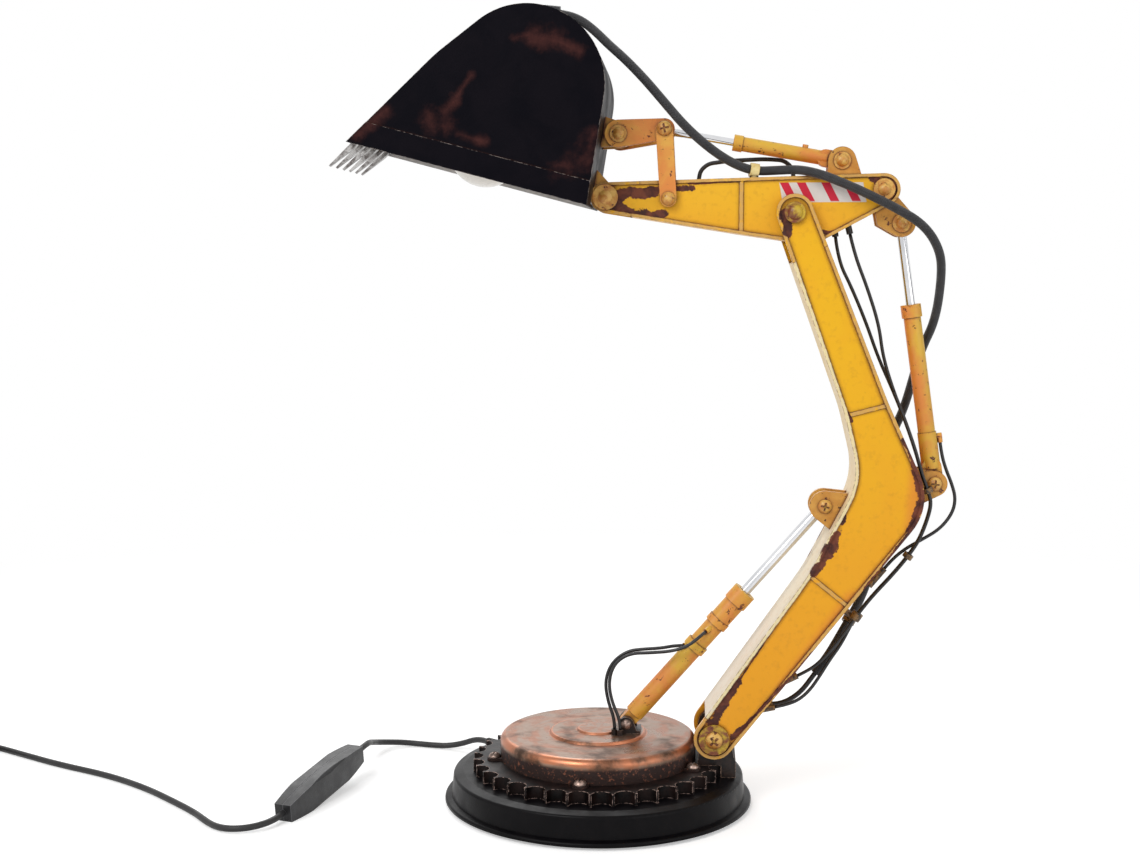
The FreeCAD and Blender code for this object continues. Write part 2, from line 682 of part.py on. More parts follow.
def base_casting():
    """A hollow cast disc with a flared foot, a rolled rim and a raised seat for the sprocket."""
    low = PAD_THICKNESS
    foot_top = FOOT_HEIGHT + low
    roof = SEAT_HEIGHT - BASE_WALL
    inner = RIM_RADIUS - BASE_WALL
    seat_edge = (SEAT_RADIUS, SEAT_HEIGHT)
    rim_in, rim_arc = rounded((WALL_FOOT_RADIUS, foot_top), (RIM_RADIUS, RIM_HEIGHT + RIM_ROUND),
                              seat_edge, RIM_ROUND)
    foot_in, foot_arc = rounded((FOOT_RADIUS, low), (FOOT_RADIUS, foot_top - 1.0),
                                (WALL_FOOT_RADIUS, foot_top), 1.4)
    casting = turned([
        (inner, low), (FOOT_RADIUS, low), foot_in, foot_arc, (WALL_FOOT_RADIUS, foot_top),
        rim_in, rim_arc, seat_edge, (0, SEAT_HEIGHT), (0, roof), (inner, roof), (inner, low),
    ])
    casting = casting.cut(Part.makeCylinder(CENTRE_BOLT_RADIUS, SEAT_HEIGHT))
    cable_hole = Part.makeCylinder(FOOT_CABLE_HOLE, SEAT_HEIGHT, Vec(FOOT_CABLE_X, 0, 0))
    casting = casting.cut(cable_hole)
    for place in base_screw_places():
        bottom = Vec(place[0], place[1], SEAT_HEIGHT - SCREW_BITE)
        casting = casting.cut(Part.makeCylinder(SCREW_RADIUS, 2 * SCREW_BITE, bottom))
    neck = rod_along(polar(inner - 1, EXIT_ANGLE, EXIT_HEIGHT), polar(1, EXIT_ANGLE), RELIEF_NECK, 3 * BASE_WALL)
    return casting.cut(neck)


def ballast_plate():
    """A steel disc under the roof of the casting, with a notch for the terminal block."""
    low = SEAT_HEIGHT - BASE_WALL - BALLAST_THICKNESS
    plate = Part.makeCylinder(BALLAST_RADIUS, BALLAST_THICKNESS, Vec(0, 0, low))
    notch = Part.makeBox(BALLAST_RADIUS, NOTCH_WIDTH, BALLAST_THICKNESS, Vec(NOTCH_START, -NOTCH_WIDTH / 2, low))
    notch.rotate(Vec(0, 0, 0), UP, EXIT_ANGLE)
    return plate.cut(notch).cut(Part.makeCylinder(CENTRE_BOLT_RADIUS, SEAT_HEIGHT))


def centre_bolt():
    """The bolt that holds the ballast, with its nut inside the bore of the sprocket."""
    low = SEAT_HEIGHT - BASE_WALL - BALLAST_THICKNESS
    head = Part.makeCylinder(CENTRE_HEAD_RADIUS, CENTRE_HEAD_HEIGHT, Vec(0, 0, low - CENTRE_HEAD_HEIGHT))
    shaft = Part.makeCylinder(CENTRE_BOLT_RADIUS, SEAT_HEIGHT - low + CENTRE_BOLT_END, Vec(0, 0, low))
    corners = [polar(CENTRE_HEAD_RADIUS, 60 * n, SEAT_HEIGHT) for n in range(7)]
    nut = Part.Face(Part.makePolygon(corners)).extrude(UP * CENTRE_NUT_HEIGHT)
    return [head.fuse(shaft).removeSplitter(), nut.cut(Part.makeCylinder(CENTRE_BOLT_RADIUS, FAR_OUT))]


def sprocket_tip_radius():
    return SPROCKET_PITCH / (2 * math.sin(math.pi / SPROCKET_TEETH)) + SPROCKET_TIP_HEIGHT


def sprocket_ring():
    """A plate sprocket: a round seat between each pair of narrow teeth."""
    tip = sprocket_tip_radius()
    step = 360.0 / SPROCKET_TEETH
    half_gap = math.degrees(2 * math.asin(SPROCKET_SEAT / (2 * tip)))
    edges = []
    for n in range(SPROCKET_TEETH):
        middle = (n + 0.5) * step
        low, high, far = [polar(tip, middle + a) for a in (-half_gap, half_gap, step - half_gap)]
        edges.append(Part.Arc(low, polar(tip - SPROCKET_SEAT, middle), high).toShape())
        edges.append(Part.Arc(high, polar(tip, middle + step / 2), far).toShape())
    gear = Part.Face(Part.Wire(edges)).extrude(UP * SPROCKET_THICKNESS)
    gear = gear.cut(Part.makeCylinder(SPROCKET_BORE, SPROCKET_THICKNESS))
    gear.translate(UP * SEAT_HEIGHT)
    for place in base_screw_places():
        gear = gear.cut(Part.makeCylinder(SCREW_RADIUS, 2 * FAR_OUT, Vec(place[0], place[1], 0)))
    return gear


def tab_places():
    radius = DISH_RADIUS + TAB_LENGTH - TAB_HALF_WIDTH + 0.8
    step = 360.0 / TAB_COUNT
    return [along((0, 0), TAB_FIRST_ANGLE + n * step, radius) for n in range(TAB_COUNT)]


def base_screw_places():
    return tab_places() + [(FOOT_SCREW_X, -FOOT_SCREW_Y), (FOOT_SCREW_X, FOOT_SCREW_Y)]


def dish_floor():
    """The height of the raised step that the cylinder bracket stands on."""
    return SEAT_HEIGHT + SPROCKET_THICKNESS + DISH_HEIGHT + PLATEAU_STEP


def turntable_dish():
    """A pressed cap with a rolled shoulder, two raised steps and five screw tabs."""
    foot = SEAT_HEIGHT + SPROCKET_THICKNESS
    top = foot + DISH_HEIGHT
    plateau = dish_floor()
    hub = plateau + HUB_STEP
    inner = DISH_RADIUS - DISH_WALL
    shoulder, shoulder_arc = rounded((DISH_RADIUS, foot), (DISH_RADIUS, top), (0, top), DISH_SHOULDER)
    inside, inside_arc = rounded((0, top - DISH_WALL), (inner, top - DISH_WALL), (inner, foot),
                                 DISH_SHOULDER - DISH_WALL)
    step_foot = (PLATEAU_RADIUS + STEP_FLARE, top)
    hub_foot = (HUB_RADIUS + STEP_FLARE, plateau)
    step_out, step_arc = rounded(step_foot, (PLATEAU_RADIUS, plateau), (0, plateau), STEP_ROUND)
    hub_out, hub_arc = rounded(hub_foot, (HUB_RADIUS, hub), (0, hub), STEP_ROUND)
    dish = turned([
        (0, top - DISH_WALL), inside, inside_arc, (inner, foot), (DISH_RADIUS, foot), shoulder,
        shoulder_arc, step_foot, step_out, step_arc, hub_foot, hub_out, hub_arc, (0, hub),
        (0, top - DISH_WALL),
    ])
    root = inner + DISH_WALL / 2
    for place in tab_places():
        reach = math.hypot(*place)
        tab = Part.makeBox(reach - root, 2 * TAB_HALF_WIDTH, TAB_THICKNESS, Vec(root, -TAB_HALF_WIDTH, foot))
        tab = tab.fuse(Part.makeCylinder(TAB_HALF_WIDTH, TAB_THICKNESS, Vec(reach, 0, foot)))
        tab = tab.cut(Part.makeCylinder(root, TAB_THICKNESS, Vec(0, 0, foot)))
        tab = tab.cut(Part.makeCylinder(SCREW_RADIUS, 2 * FAR_OUT, Vec(reach, 0, 0)))
        tab.rotate(Vec(0, 0, 0), UP, angle_of((0, 0), place))
        dish = dish.fuse(tab)
    return dish.removeSplitter()


def base_screws():
    """Pan-head screws for the tabs of the dish and for the bracket of the boom."""
    screws = []
    for place in base_screw_places():
        plate = TAB_THICKNESS if place in tab_places() else FOOT_PLATE_THICKNESS
        seat = Vec(place[0], place[1], SEAT_HEIGHT + SPROCKET_THICKNESS + plate)
        shaft = rod_along(seat, UP * -1, SCREW_RADIUS, plate + SPROCKET_THICKNESS + SCREW_BITE)
        head = domed_head(SCREW_HEAD_RADIUS, SCREW_HEAD_HEIGHT, seat, UP)
        screws.append(head.fuse(shaft).removeSplitter())
    return screws


def boom_foot_bracket():
    """Two ears on a plate that reaches over the sprocket, with a toe down to the casting."""
    low = SEAT_HEIGHT + SPROCKET_THICKNESS
    top = low + FOOT_PLATE_THICKNESS
    length = FOOT_PLATE_BACK - FOOT_PLATE_FRONT
    width = 2 * FOOT_EAR_OUTSIDE
    plate = Part.makeBox(length, width, FOOT_PLATE_THICKNESS, Vec(FOOT_PLATE_FRONT, -FOOT_EAR_OUTSIDE, low))
    toe = Part.makeBox(length, width, low - SEAT_HEIGHT, Vec(FOOT_PLATE_FRONT, -FOOT_EAR_OUTSIDE, SEAT_HEIGHT))
    toe = toe.cut(Part.makeCylinder(sprocket_tip_radius() + LINK_GAP, 2 * FAR_OUT))
    ear = outline([
        ("end", BOOM_FOOT, FOOT_EAR_RADIUS),
        ("corner", (FOOT_PLATE_FRONT + 0.6, top), 0.0),
        ("corner", (FOOT_PLATE_BACK - 0.6, top), 0.0),
    ])
    bracket = plate.fuse(toe)
    for ear_side in both_sides(slab(ear, -FOOT_EAR_OUTSIDE, -FOOT_EAR_OUTSIDE + FOOT_EAR_WALL)):
        bracket = bracket.fuse(ear_side)
    bracket = bored(bracket, BOOM_FOOT, FOOT_BOLT_RADIUS + PIN_PLAY)
    bracket = bracket.cut(Part.makeCylinder(FOOT_CABLE_HOLE, 2 * FAR_OUT, Vec(FOOT_CABLE_X, 0, 0)))
    for side in (-FOOT_SCREW_Y, FOOT_SCREW_Y):
        bracket = bracket.cut(Part.makeCylinder(SCREW_RADIUS, 2 * FAR_OUT, Vec(FOOT_SCREW_X, side, 0)))
    return bracket.removeSplitter()


def cylinder_foot_bracket():
    """The clevis on the dish for the foot of the boom cylinder, cut away round the hub."""
    floor = dish_floor()
    front = BOOM_CYL_FOOT[0] - CYL_PLATE_REACH[0]
    back = BOOM_CYL_FOOT[0] + CYL_PLATE_REACH[1]
    bracket = Part.makeBox(back - front, 2 * EAR_FACE, CYL_PLATE_THICKNESS, Vec(front, -EAR_FACE, floor))
    wire = outline([
        ("end", BOOM_CYL_FOOT, CYL_EAR_RADIUS),
        ("corner", (BOOM_CYL_FOOT[0] - CYL_EAR_RADIUS, floor), 0.0),
        ("corner", (BOOM_CYL_FOOT[0] + CYL_EAR_RADIUS + 2, floor), 0.0),
    ])
    for ear in both_sides(slab(wire, -EAR_FACE, -EAR_FACE + EAR_WALL)):
        bracket = bracket.fuse(ear)
    gap = EYE_HALF + EAR_GAP
    bracket = bracket.cut(rod_across(BOOM_CYL_FOOT, BOOM_CYLINDER["eye"] + 0.6, -gap, gap))
    return bored(bracket.cut(hub_room()), BOOM_CYL_FOOT, PIN_RADIUS).removeSplitter()


def hub_room():
    """The space of the hub of the dish and a little more."""
    return Part.makeCylinder(HUB_RADIUS + STEP_FLARE + 0.2, dish_floor() + HUB_STEP + 0.2)


def hose_sleeves():
    """The two stubs on the dish where the hoses of the boom cylinder end."""
    sleeves = []
    for route in (CYLINDER_HOSE_LOW, CYLINDER_HOSE_HIGH):
        x, y, z = route[-1]
        floor = dish_floor()
        sleeves.append(Part.makeCylinder(SOCKET_RADIUS, z - floor, Vec(x, y, floor)).cut(hub_room()))
    return sleeves


def strain_relief():
    """A moulded sleeve in the wall of the base that tapers along the mains cord."""
    inner = RIM_RADIUS - BASE_WALL
    outside = WALL_FOOT_RADIUS - 0.1
    flange = inner - 4.0
    sleeve = turned([
        (0, flange), (RELIEF_FLANGE, flange), (RELIEF_FLANGE, inner - 0.25), (RELIEF_NECK, inner - 0.25),
        (RELIEF_NECK, outside), (RELIEF_FLANGE, outside), (RELIEF_FLANGE, outside + 2.2),
        (RELIEF_NECK + 0.2, outside + 2.6), (RELIEF_TIP, outside + RELIEF_LENGTH),
        (0, outside + RELIEF_LENGTH), (0, flange),
    ])
    sleeve = sleeve.cut(Part.makeCylinder(CORD_RADIUS + RELIEF_CORD_PLAY, PAST_LAMP))
    return place_along(sleeve, Vec(0, 0, EXIT_HEIGHT), polar(1, EXIT_ANGLE))


def terminal_block():
    length, width, height = TERMINAL_SIZE
    block = Part.makeBox(length, width, height, Vec(TERMINAL_CENTRE - length / 2, -width / 2,
                                                    SEAT_HEIGHT - BASE_WALL - height))
    block.rotate(Vec(0, 0, 0), UP, EXIT_ANGLE)
    return block


def inner_cord():
    """The straight end of the mains cord, from the terminal block through the wall."""
    start = TERMINAL_CENTRE + TERMINAL_SIZE[0] / 2
    return rod_along(polar(start, EXIT_ANGLE, EXIT_HEIGHT), polar(1, EXIT_ANGLE), CORD_RADIUS,
                     INNER_CORD_END - start)


# Boom


def boom_outline():
    return outline([
        ("end", BOOM_FOOT, BOOM_FOOT_END),
        ("corner", BOOM_OUTER_KNEE, BOOM_OUTER_KNEE_ROUND),
        ("corner", BOOM_BACK_HIGH, BOOM_SLOW_BEND),
        ("end", STICK_HINGE, BOOM_HEAD_END),
        ("corner", BOOM_FRONT_HIGH, BOOM_SLOW_BEND),
        ("corner", BOOM_INNER_KNEE, BOOM_INNER_KNEE_ROUND),
        ("corner", BOOM_FRONT_LOW, BOOM_SLOW_BEND),
    ])


def boom_cuts():
    """Blocks beyond the ends of the flanges, at the foot and at the head."""
    low_angle = angle_of(BOOM_FOOT, BOOM_FRONT_LOW)
    low = along(BOOM_FOOT, low_angle, BOOM_FOOT_CUT)
    high_angle = angle_of(STICK_HINGE, BOOM_BACK_HIGH)
    high = along(STICK_HINGE, high_angle, BOOM_HEAD_CUT)
    foot = half_space(low, along(low, low_angle - 90, 10))
    head = half_space(high, along(high, high_angle - 90, 10))
    return foot, head


def boom_bands():
    """The rim of the boom, split into the raised rims at its two ends and its two flanges."""
    outer = boom_outline()
    inner = outer.makeOffset2D(-BOOM_FLANGE)
    band = slab(outer, -BOOM_HALF, BOOM_HALF).cut(slab(inner, -BOOM_HALF, BOOM_HALF))
    foot, head = boom_cuts()
    ends = band.common(foot).fuse(band.common(head))
    front, rear = sorted(band.cut(foot).cut(head).Solids, key=lambda solid: solid.CenterOfMass.x)
    # the lamp lead goes into the boom through a hole near the foot
    entry = Vec(*BOOM_LEAD[-1])
    hole = rod_along(entry - Vec(12, 0, 0), Vec(1, 0, 0), LEAD_RADIUS + CLIP_GAP + 1.0, 24.0)
    return inner, ends, front, rear.cut(hole)


def seam(wire, start, end, low, high):
    """A raised joint strip across a side plate, between two points of its edge."""
    angle = angle_of(start, end)
    half = SEAM_WIDTH / 2
    past_start = along(start, angle, -4)
    past_end = along(end, angle, 4)
    corners = [
        along(past_start, angle - 90, half), along(past_end, angle - 90, half),
        along(past_end, angle + 90, half), along(past_start, angle + 90, half),
    ]
    return slab(polygon(corners), low, high).common(slab(wire, low, high))


def edge_x(points, z):
    """Where a line through two points crosses a height."""
    (x1, z1), (x2, z2) = points
    return x1 + (x2 - x1) * (z - z1) / (z2 - z1)


def boom_sides(inner, ends):
    plate = slab(inner, -BOOM_SIDE, -BOOM_INSIDE)
    plate = plate.fuse(ends.common(slab(boom_outline(), -BOOM_HALF, -BOOM_INSIDE)))
    rear_line = tangent_ends((BOOM_FOOT, BOOM_FOOT_END), (BOOM_OUTER_KNEE, 0.0))
    low_ends = [(edge_x((BOOM_FRONT_LOW, BOOM_FOOT), LOW_SEAM_Z[0]), LOW_SEAM_Z[0]),
                (edge_x(rear_line, LOW_SEAM_Z[1]), LOW_SEAM_Z[1])]
    high_ends = [(BOOM_FRONT_HIGH[0], HIGH_SEAM_Z[0]), (BOOM_BACK_HIGH[0], HIGH_SEAM_Z[1])]
    for start, end in (low_ends, high_ends):
        plate = plate.fuse(seam(inner, start, end, -BOOM_SIDE - SEAM_HEIGHT, -BOOM_SIDE))
    plate = bored(plate, BOOM_FOOT, FOOT_BOLT_RADIUS)
    return both_sides(bored(plate, STICK_HINGE, HINGE_BOLT_RADIUS).removeSplitter())


def ears(wire, body, inside, wall, place):
    """Two ears from one outline, cut back to the face that they stand on."""
    plates = []
    for ear in both_sides(slab(wire, -inside - wall, -inside)):
        plates.append(bored(biggest(ear.cut(body)), place, PIN_RADIUS))
    return plates


def boom_brackets():
    """The ears in the crook of the boom for the rod of its cylinder, and the ears behind the knee
    for the foot of the stick cylinder."""
    body = slab(boom_outline(), -PAST_ARM, PAST_ARM)
    crook = outline([
        ("end", BOOM_CYL_PIN, 9.0),
        ("corner", (BOOM_CYL_PIN[0] + 6.5, BOOM_CYL_PIN[1] - 16.5), 0.0),
        ("corner", (BOOM_CYL_PIN[0] + 20.0, BOOM_CYL_PIN[1] + 7.0), 0.0),
    ])
    knee = outline([
        ("end", STICK_CYL_FOOT, 7.4),
        ("corner", (STICK_CYL_FOOT[0] - 13.5, STICK_CYL_FOOT[1] + 9.0), 0.0),
        ("corner", (STICK_CYL_FOOT[0] - 8.5, STICK_CYL_FOOT[1] - 12.5), 0.0),
    ])
    inside = EYE_HALF + EAR_GAP
    return ears(crook, body, inside, EAR_WALL, BOOM_CYL_PIN) + ears(knee, body, inside, EAR_WALL, STICK_CYL_FOOT)


def boom_pins():
    """Bolts that turn with the boom: its foot, the stick hinge and two cylinder pins."""
    return (bolt(BOOM_FOOT, FOOT_BOLT_RADIUS, BOOM_HALF, 5.0, 2.6, 9.0, 1.6)
            + bolt(STICK_HINGE, HINGE_BOLT_RADIUS, BOOM_HALF, 4.4, 2.6, 6.0, 1.2)
            + bolt(BOOM_CYL_PIN, PIN_RADIUS, EAR_FACE, 4.0, 2.2)
            + bolt(STICK_CYL_FOOT, PIN_RADIUS, EAR_FACE, 4.0, 2.4))


# Stick


def stick_outline():
    return outline([
        ("end", BUCKET_HINGE, STICK_NOSE_END),
        ("corner", STICK_BELLY_FRONT, BOOM_SLOW_BEND),
        ("corner", STICK_BELLY, STICK_BELLY_ROUND),
        ("end", TAIL_BOLT, STICK_TAIL_END),
    ])


def stick_bands():
    """The rim of the stick, split into the raised rim at its nose and its two flanges."""
    outer = stick_outline()
    inner = outer.makeOffset2D(-STICK_FLANGE)
    band = slab(outer, -STICK_HALF, STICK_HALF).cut(slab(inner, -STICK_HALF, STICK_HALF))
    nose, middle = BUCKET_HINGE
    below_middle = half_space((0, middle - 1), (10, middle - 1))
    parts = []
    for half, start in ((band.cut(below_middle), nose + STICK_TOP_START),
                        (band.common(below_middle), nose + STICK_BOTTOM_START)):
        flange = half.common(half_space((start, middle - 10), (start, middle)))
        parts.append((flange, half.cut(flange)))
    (top, top_nose), (bottom, bottom_nose) = parts
    return inner, top_nose.fuse(bottom_nose), top, bottom


def stick_sides(inner, ends):
    plate = slab(inner, -STICK_SIDE, -STICK_INSIDE)
    plate = plate.fuse(ends.common(slab(stick_outline(), -STICK_HALF, -STICK_INSIDE)))
    plate = plate.fuse(seam(inner, (STICK_SEAM_X, BUCKET_HINGE[1] - 26), (STICK_SEAM_X, BUCKET_HINGE[1] + 14),
                            -STICK_SIDE - SEAM_HEIGHT, -STICK_SIDE))
    for place, radius in ((BUCKET_HINGE, HINGE_BOLT_RADIUS), (ROCKER_FOOT, PIN_RADIUS),
                          (TAIL_BOLT, PIN_RADIUS), (STICK_HINGE, HINGE_BOLT_RADIUS + SLEEVE_WALL)):
        plate = bored(plate, place, radius)
    return both_sides(plate.removeSplitter())


def stick_sleeve():
    """The tube through the stick that the hinge bolt runs in."""
    reach = BOOM_INSIDE - 0.3
    sleeve = rod_across(STICK_HINGE, HINGE_BOLT_RADIUS + SLEEVE_WALL, -reach, reach)
    return bored(sleeve, STICK_HINGE, HINGE_BOLT_RADIUS + PIN_PLAY)


def stick_solid():
    return slab(stick_outline(), -PAST_ARM, PAST_ARM)


def stick_brackets():
    """The ears under the tail for the rod of the stick cylinder, and the upright ears for the foot
    of the bucket cylinder."""
    tail = outline([
        ("end", STICK_CYL_PIN, 8.0),
        ("corner", (TAIL_BOLT[0] + 6.5, TAIL_BOLT[1] - 1.5), 0.0),
        ("corner", (TAIL_BOLT[0] - 5.0, TAIL_BOLT[1] - 9.0), 0.0),
        ("corner", (STICK_CYL_PIN[0] - 14.0, STICK_CYL_PIN[1] - 1.2), 1.0),
    ])
    upright = outline([
        ("end", BUCKET_CYL_FOOT, 8.0),
        ("corner", (BUCKET_CYL_FOOT[0] - 8.6, BUCKET_CYL_FOOT[1] - 12.0), 0.0),
        ("corner", (BUCKET_CYL_FOOT[0] + 12.4, BUCKET_CYL_FOOT[1] - 12.0), 0.0),
    ])
    body = stick_solid()
    return (ears(tail, body, EYE_HALF + EAR_GAP, EAR_WALL, STICK_CYL_PIN)
            + ears(upright, body, SMALL_EYE_HALF + EAR_GAP, SMALL_EAR_WALL, BUCKET_CYL_FOOT))


def stick_pins():
    """Bolts that turn with the stick: bucket hinge, tail, rocker foot and two cylinder pins."""
    rocker_face = ROCKER_OUTSIDE + 0.1
    return (bolt(BUCKET_HINGE, HINGE_BOLT_RADIUS, STICK_HALF, 4.0, 1.6, 7.4, 1.4)
            + bolt(TAIL_BOLT, PIN_RADIUS, STICK_HALF, 3.6, 2.2, 6.2, 0.9)
            + bolt(ROCKER_FOOT, PIN_RADIUS, rocker_face, 4.0, 3.2)
            + bolt(STICK_CYL_PIN, PIN_RADIUS, EAR_FACE, 3.4, 2.2, 5.4, 0.9)
            + bolt(BUCKET_CYL_FOOT, PIN_RADIUS, SMALL_EAR_FACE, 3.6, 2.4, 5.0, 0.8))


def stick_pipes():
    """The pipe on top of the stick, and the stubs below it that two hoses leave from."""
    body = stick_solid()
    pipe = biggest(tube(STICK_RAIL, RAIL_RADIUS, "stick rail")[0].cut(body))
    stubs = [socket(route[0], route[1], body) for route in (HOSE_ONE_TOP, HOSE_TWO_TOP)]
    return [pipe] + stubs


# Bucket


def bucket_outline(past_mouth=0.0):
    """The side of the bucket: a bowed lid, a round back and a straight mouth. The lid and the back
    can be drawn longer, past the mouth."""
    back = tangent_ends((BUCKET_HEEL, 0.0), (BUCKET_ROUND_CENTRE, BUCKET_ROUND))
    return outline([
        ("corner", along(BUCKET_TIP, angle_of(BUCKET_LID_BEND, BUCKET_TIP), past_mouth), 0.0),
        ("corner", along(BUCKET_HEEL, angle_of(*back) + 180, past_mouth), 0.0),
        ("end", BUCKET_ROUND_CENTRE, BUCKET_ROUND),
        ("corner", BUCKET_LID_BEND, BUCKET_LID_ROUND),
    ])


def on_back(angle, depth, y=0.0):
    """A point on or below the round back of the bucket, and the direction inwards there."""
    place = along(BUCKET_ROUND_CENTRE, angle, BUCKET_ROUND - depth)
    return point(place, y), point(along((0, 0), angle + 180, 1.0))


def bucket_back_sheet():
    """The lid and the back, bent from one sheet, with a notch at the heel for the stick."""
    half = BUCKET_HALF - BUCKET_SHEET
    outer = slab(bucket_outline(), -half, half)
    # the inside runs out through the mouth, so the sheet is open below
    room = slab(bucket_outline(10 * BUCKET_SHEET).makeOffset2D(-BUCKET_SHEET), -half, half)
    notch_half = STICK_HALF + HEEL_NOTCH_GAP
    notch = rod_across(BUCKET_HINGE, HEEL_NOTCH_RADIUS, -notch_half, notch_half)
    sheet = biggest(outer.cut(room).cut(notch))
    place, inwards = on_back(GLAND_ANGLE, -1.0, GLAND_Y)
    sheet = sheet.cut(rod_along(place, inwards, GLAND_STUB, 4.0))
    for y in (-RIVET_Y, RIVET_Y):
        place, inwards = on_back(HOLDER_ANGLE, -1.0, y)
        sheet = sheet.cut(rod_along(place, inwards, RIVET_RADIUS, 4.0))
    return sheet


def bucket_sides():
    """Side plates with a flat strip along the mouth."""
    plate = slab(bucket_outline(), -BUCKET_HALF, -BUCKET_HALF + BUCKET_SHEET)
    angle = angle_of(BUCKET_TIP, BUCKET_HEEL)
    start = along(BUCKET_TIP, angle + 90, BUCKET_STRIP_WIDTH)
    above = half_space(along(start, angle, 10), start)
    strip = slab(bucket_outline(), -BUCKET_HALF - BUCKET_STRIP_HEIGHT, -BUCKET_HALF).cut(above)
    return both_sides(plate.fuse(strip).removeSplitter())


def bucket_teeth():
    """Tapered steel bars on the inner face of the lid, past its front edge."""
    lid_angle = angle_of(BUCKET_TIP, BUCKET_LID_BEND)
    edge = along(BUCKET_TIP, lid_angle - 90, BUCKET_SHEET)
    sections = [
        (along(edge, lid_angle, TOOTH_OVERLAP), TOOTH_ROOT_HALF, TOOTH_THICKNESS),
        (edge, TOOTH_ROOT_HALF, TOOTH_THICKNESS),
        (along(edge, lid_angle + 180, TOOTH_LENGTH), TOOTH_TIP_HALF, TOOTH_TIP_THICKNESS),
    ]
    teeth = []
    for n in range(TOOTH_COUNT):
        y = (n - (TOOTH_COUNT - 1) / 2) * TOOTH_SPACING
        wires = []
        for upper, half, thickness in sections:
            lower = along(upper, lid_angle - 90, thickness)
            wires.append(Part.makePolygon([
                point(upper, y - half), point(upper, y + half), point(lower, y + half),
                point(lower, y - half), point(upper, y - half)]))
        teeth.append(Part.makeLoft(wires, True, True))
    return teeth


def bucket_lugs():
    """Two pairs of ears welded behind the bucket, for its hinge and for its link."""
    body = slab(bucket_outline(), -PAST_ARM, PAST_ARM)
    lugs = []
    for (x, z), bore in ((BUCKET_HINGE, HINGE_BOLT_RADIUS + PIN_PLAY), (BUCKET_PIN, PIN_RADIUS)):
        upper = (x - 20.0, z + 14.0)
        lower = (x - 20.0, z - 8.0)
        if (x, z) == BUCKET_HINGE:
            upper = (x - 14.0, z + 26.0)
            lower = (x - 14.0, z + 8.0)
        wire = outline([("end", (x, z), BUCKET_LUG_RADIUS), ("corner", upper, 0.0), ("corner", lower, 0.0)])
        for lug in both_sides(slab(wire, -BUCKET_EAR_OUTSIDE, -BUCKET_EAR_INSIDE)):
            lugs.append(bored(biggest(lug.cut(body)), (x, z), bore))
    return lugs


def bucket_pins():
    """The pin that the link turns on, and two rivets through the flange of the lamp holder."""
    pins = bolt(BUCKET_PIN, PIN_RADIUS, LINK_OUTSIDE + 0.1, 3.4, 1.8, 5.0, 0.8)
    for y in (-RIVET_Y, RIVET_Y):
        seat, inwards = on_back(HOLDER_ANGLE, 0.0, y)
        shank = rod_along(seat, inwards, RIVET_RADIUS, BUCKET_SHEET + HOLDER_FLANGE)
        pins.append(shank.fuse(domed_head(RIVET_HEAD_RADIUS, RIVET_HEAD_HEIGHT, seat, inwards * -1)))
    return pins


def lamp_holder():
    """A screw-cap holder with a flange that is riveted to the inside of the back sheet."""
    holder = Part.makeCylinder(HOLDER_FLANGE_RADIUS, HOLDER_FLANGE)
    holder = holder.fuse(Part.makeCone(HOLDER_RADIUS - HOLDER_TAPER, HOLDER_RADIUS, HOLDER_LENGTH))
    collar = Part.makeCylinder(HOLDER_RADIUS + HOLDER_COLLAR, 5.0, UP * (HOLDER_LENGTH - 14))
    holder = holder.fuse(collar)
    holder = holder.cut(Part.makeCylinder(HOLDER_BORE, HOLDER_DEPTH, UP * (HOLDER_LENGTH - HOLDER_DEPTH)))
    holder = holder.cut(Part.makeCylinder(HOLDER_WIRE_ROOM, HOLDER_LENGTH, UP * HOLDER_FLANGE))
    start, inwards = on_back(HOLDER_ANGLE, BUCKET_SHEET)
    holder = place_along(holder.removeSplitter(), start, inwards)
    # the lamp lead comes in from the side through a short boss
    end = Vec(*BUCKET_LEAD[-1])
    heading = (end - Vec(*BUCKET_LEAD[-2])).normalize()
    holder = holder.fuse(rod_along(end, heading, LEAD_RADIUS + CLIP_WALL, 4.0))
    holder = holder.common(rod_across(BUCKET_ROUND_CENTRE, BUCKET_ROUND - BUCKET_SHEET, -FAR_OUT, FAR_OUT))
    for y in (-RIVET_Y, RIVET_Y):
        place, inwards = on_back(HOLDER_ANGLE, 0.0, y)
        holder = holder.cut(rod_along(place, inwards, RIVET_RADIUS, BUCKET_SHEET + HOLDER_FLANGE))
    return holder.removeSplitter()


def bulb():
    """A golf-ball bulb and its screw cap, as two solids."""
    seat = HOLDER_LENGTH
    centre = seat + BULB_REACH - GLOBE_RADIUS
    rise = math.sqrt(GLOBE_RADIUS ** 2 - NECK_RADIUS ** 2)
    globe = turned([
        (0, seat - 2), (CAP_RADIUS, seat - 2), (NECK_RADIUS, seat + 4), (NECK_RADIUS, centre - rise),
        (GLOBE_RADIUS, centre, 0, centre + GLOBE_RADIUS), (0, seat - 2),
    ])
    cap = Part.makeCylinder(CAP_RADIUS, CAP_LENGTH, UP * (seat - 2 - CAP_LENGTH))
    start, inwards = on_back(HOLDER_ANGLE, BUCKET_SHEET)
    return place_along(globe, start, inwards), place_along(cap, start, inwards)


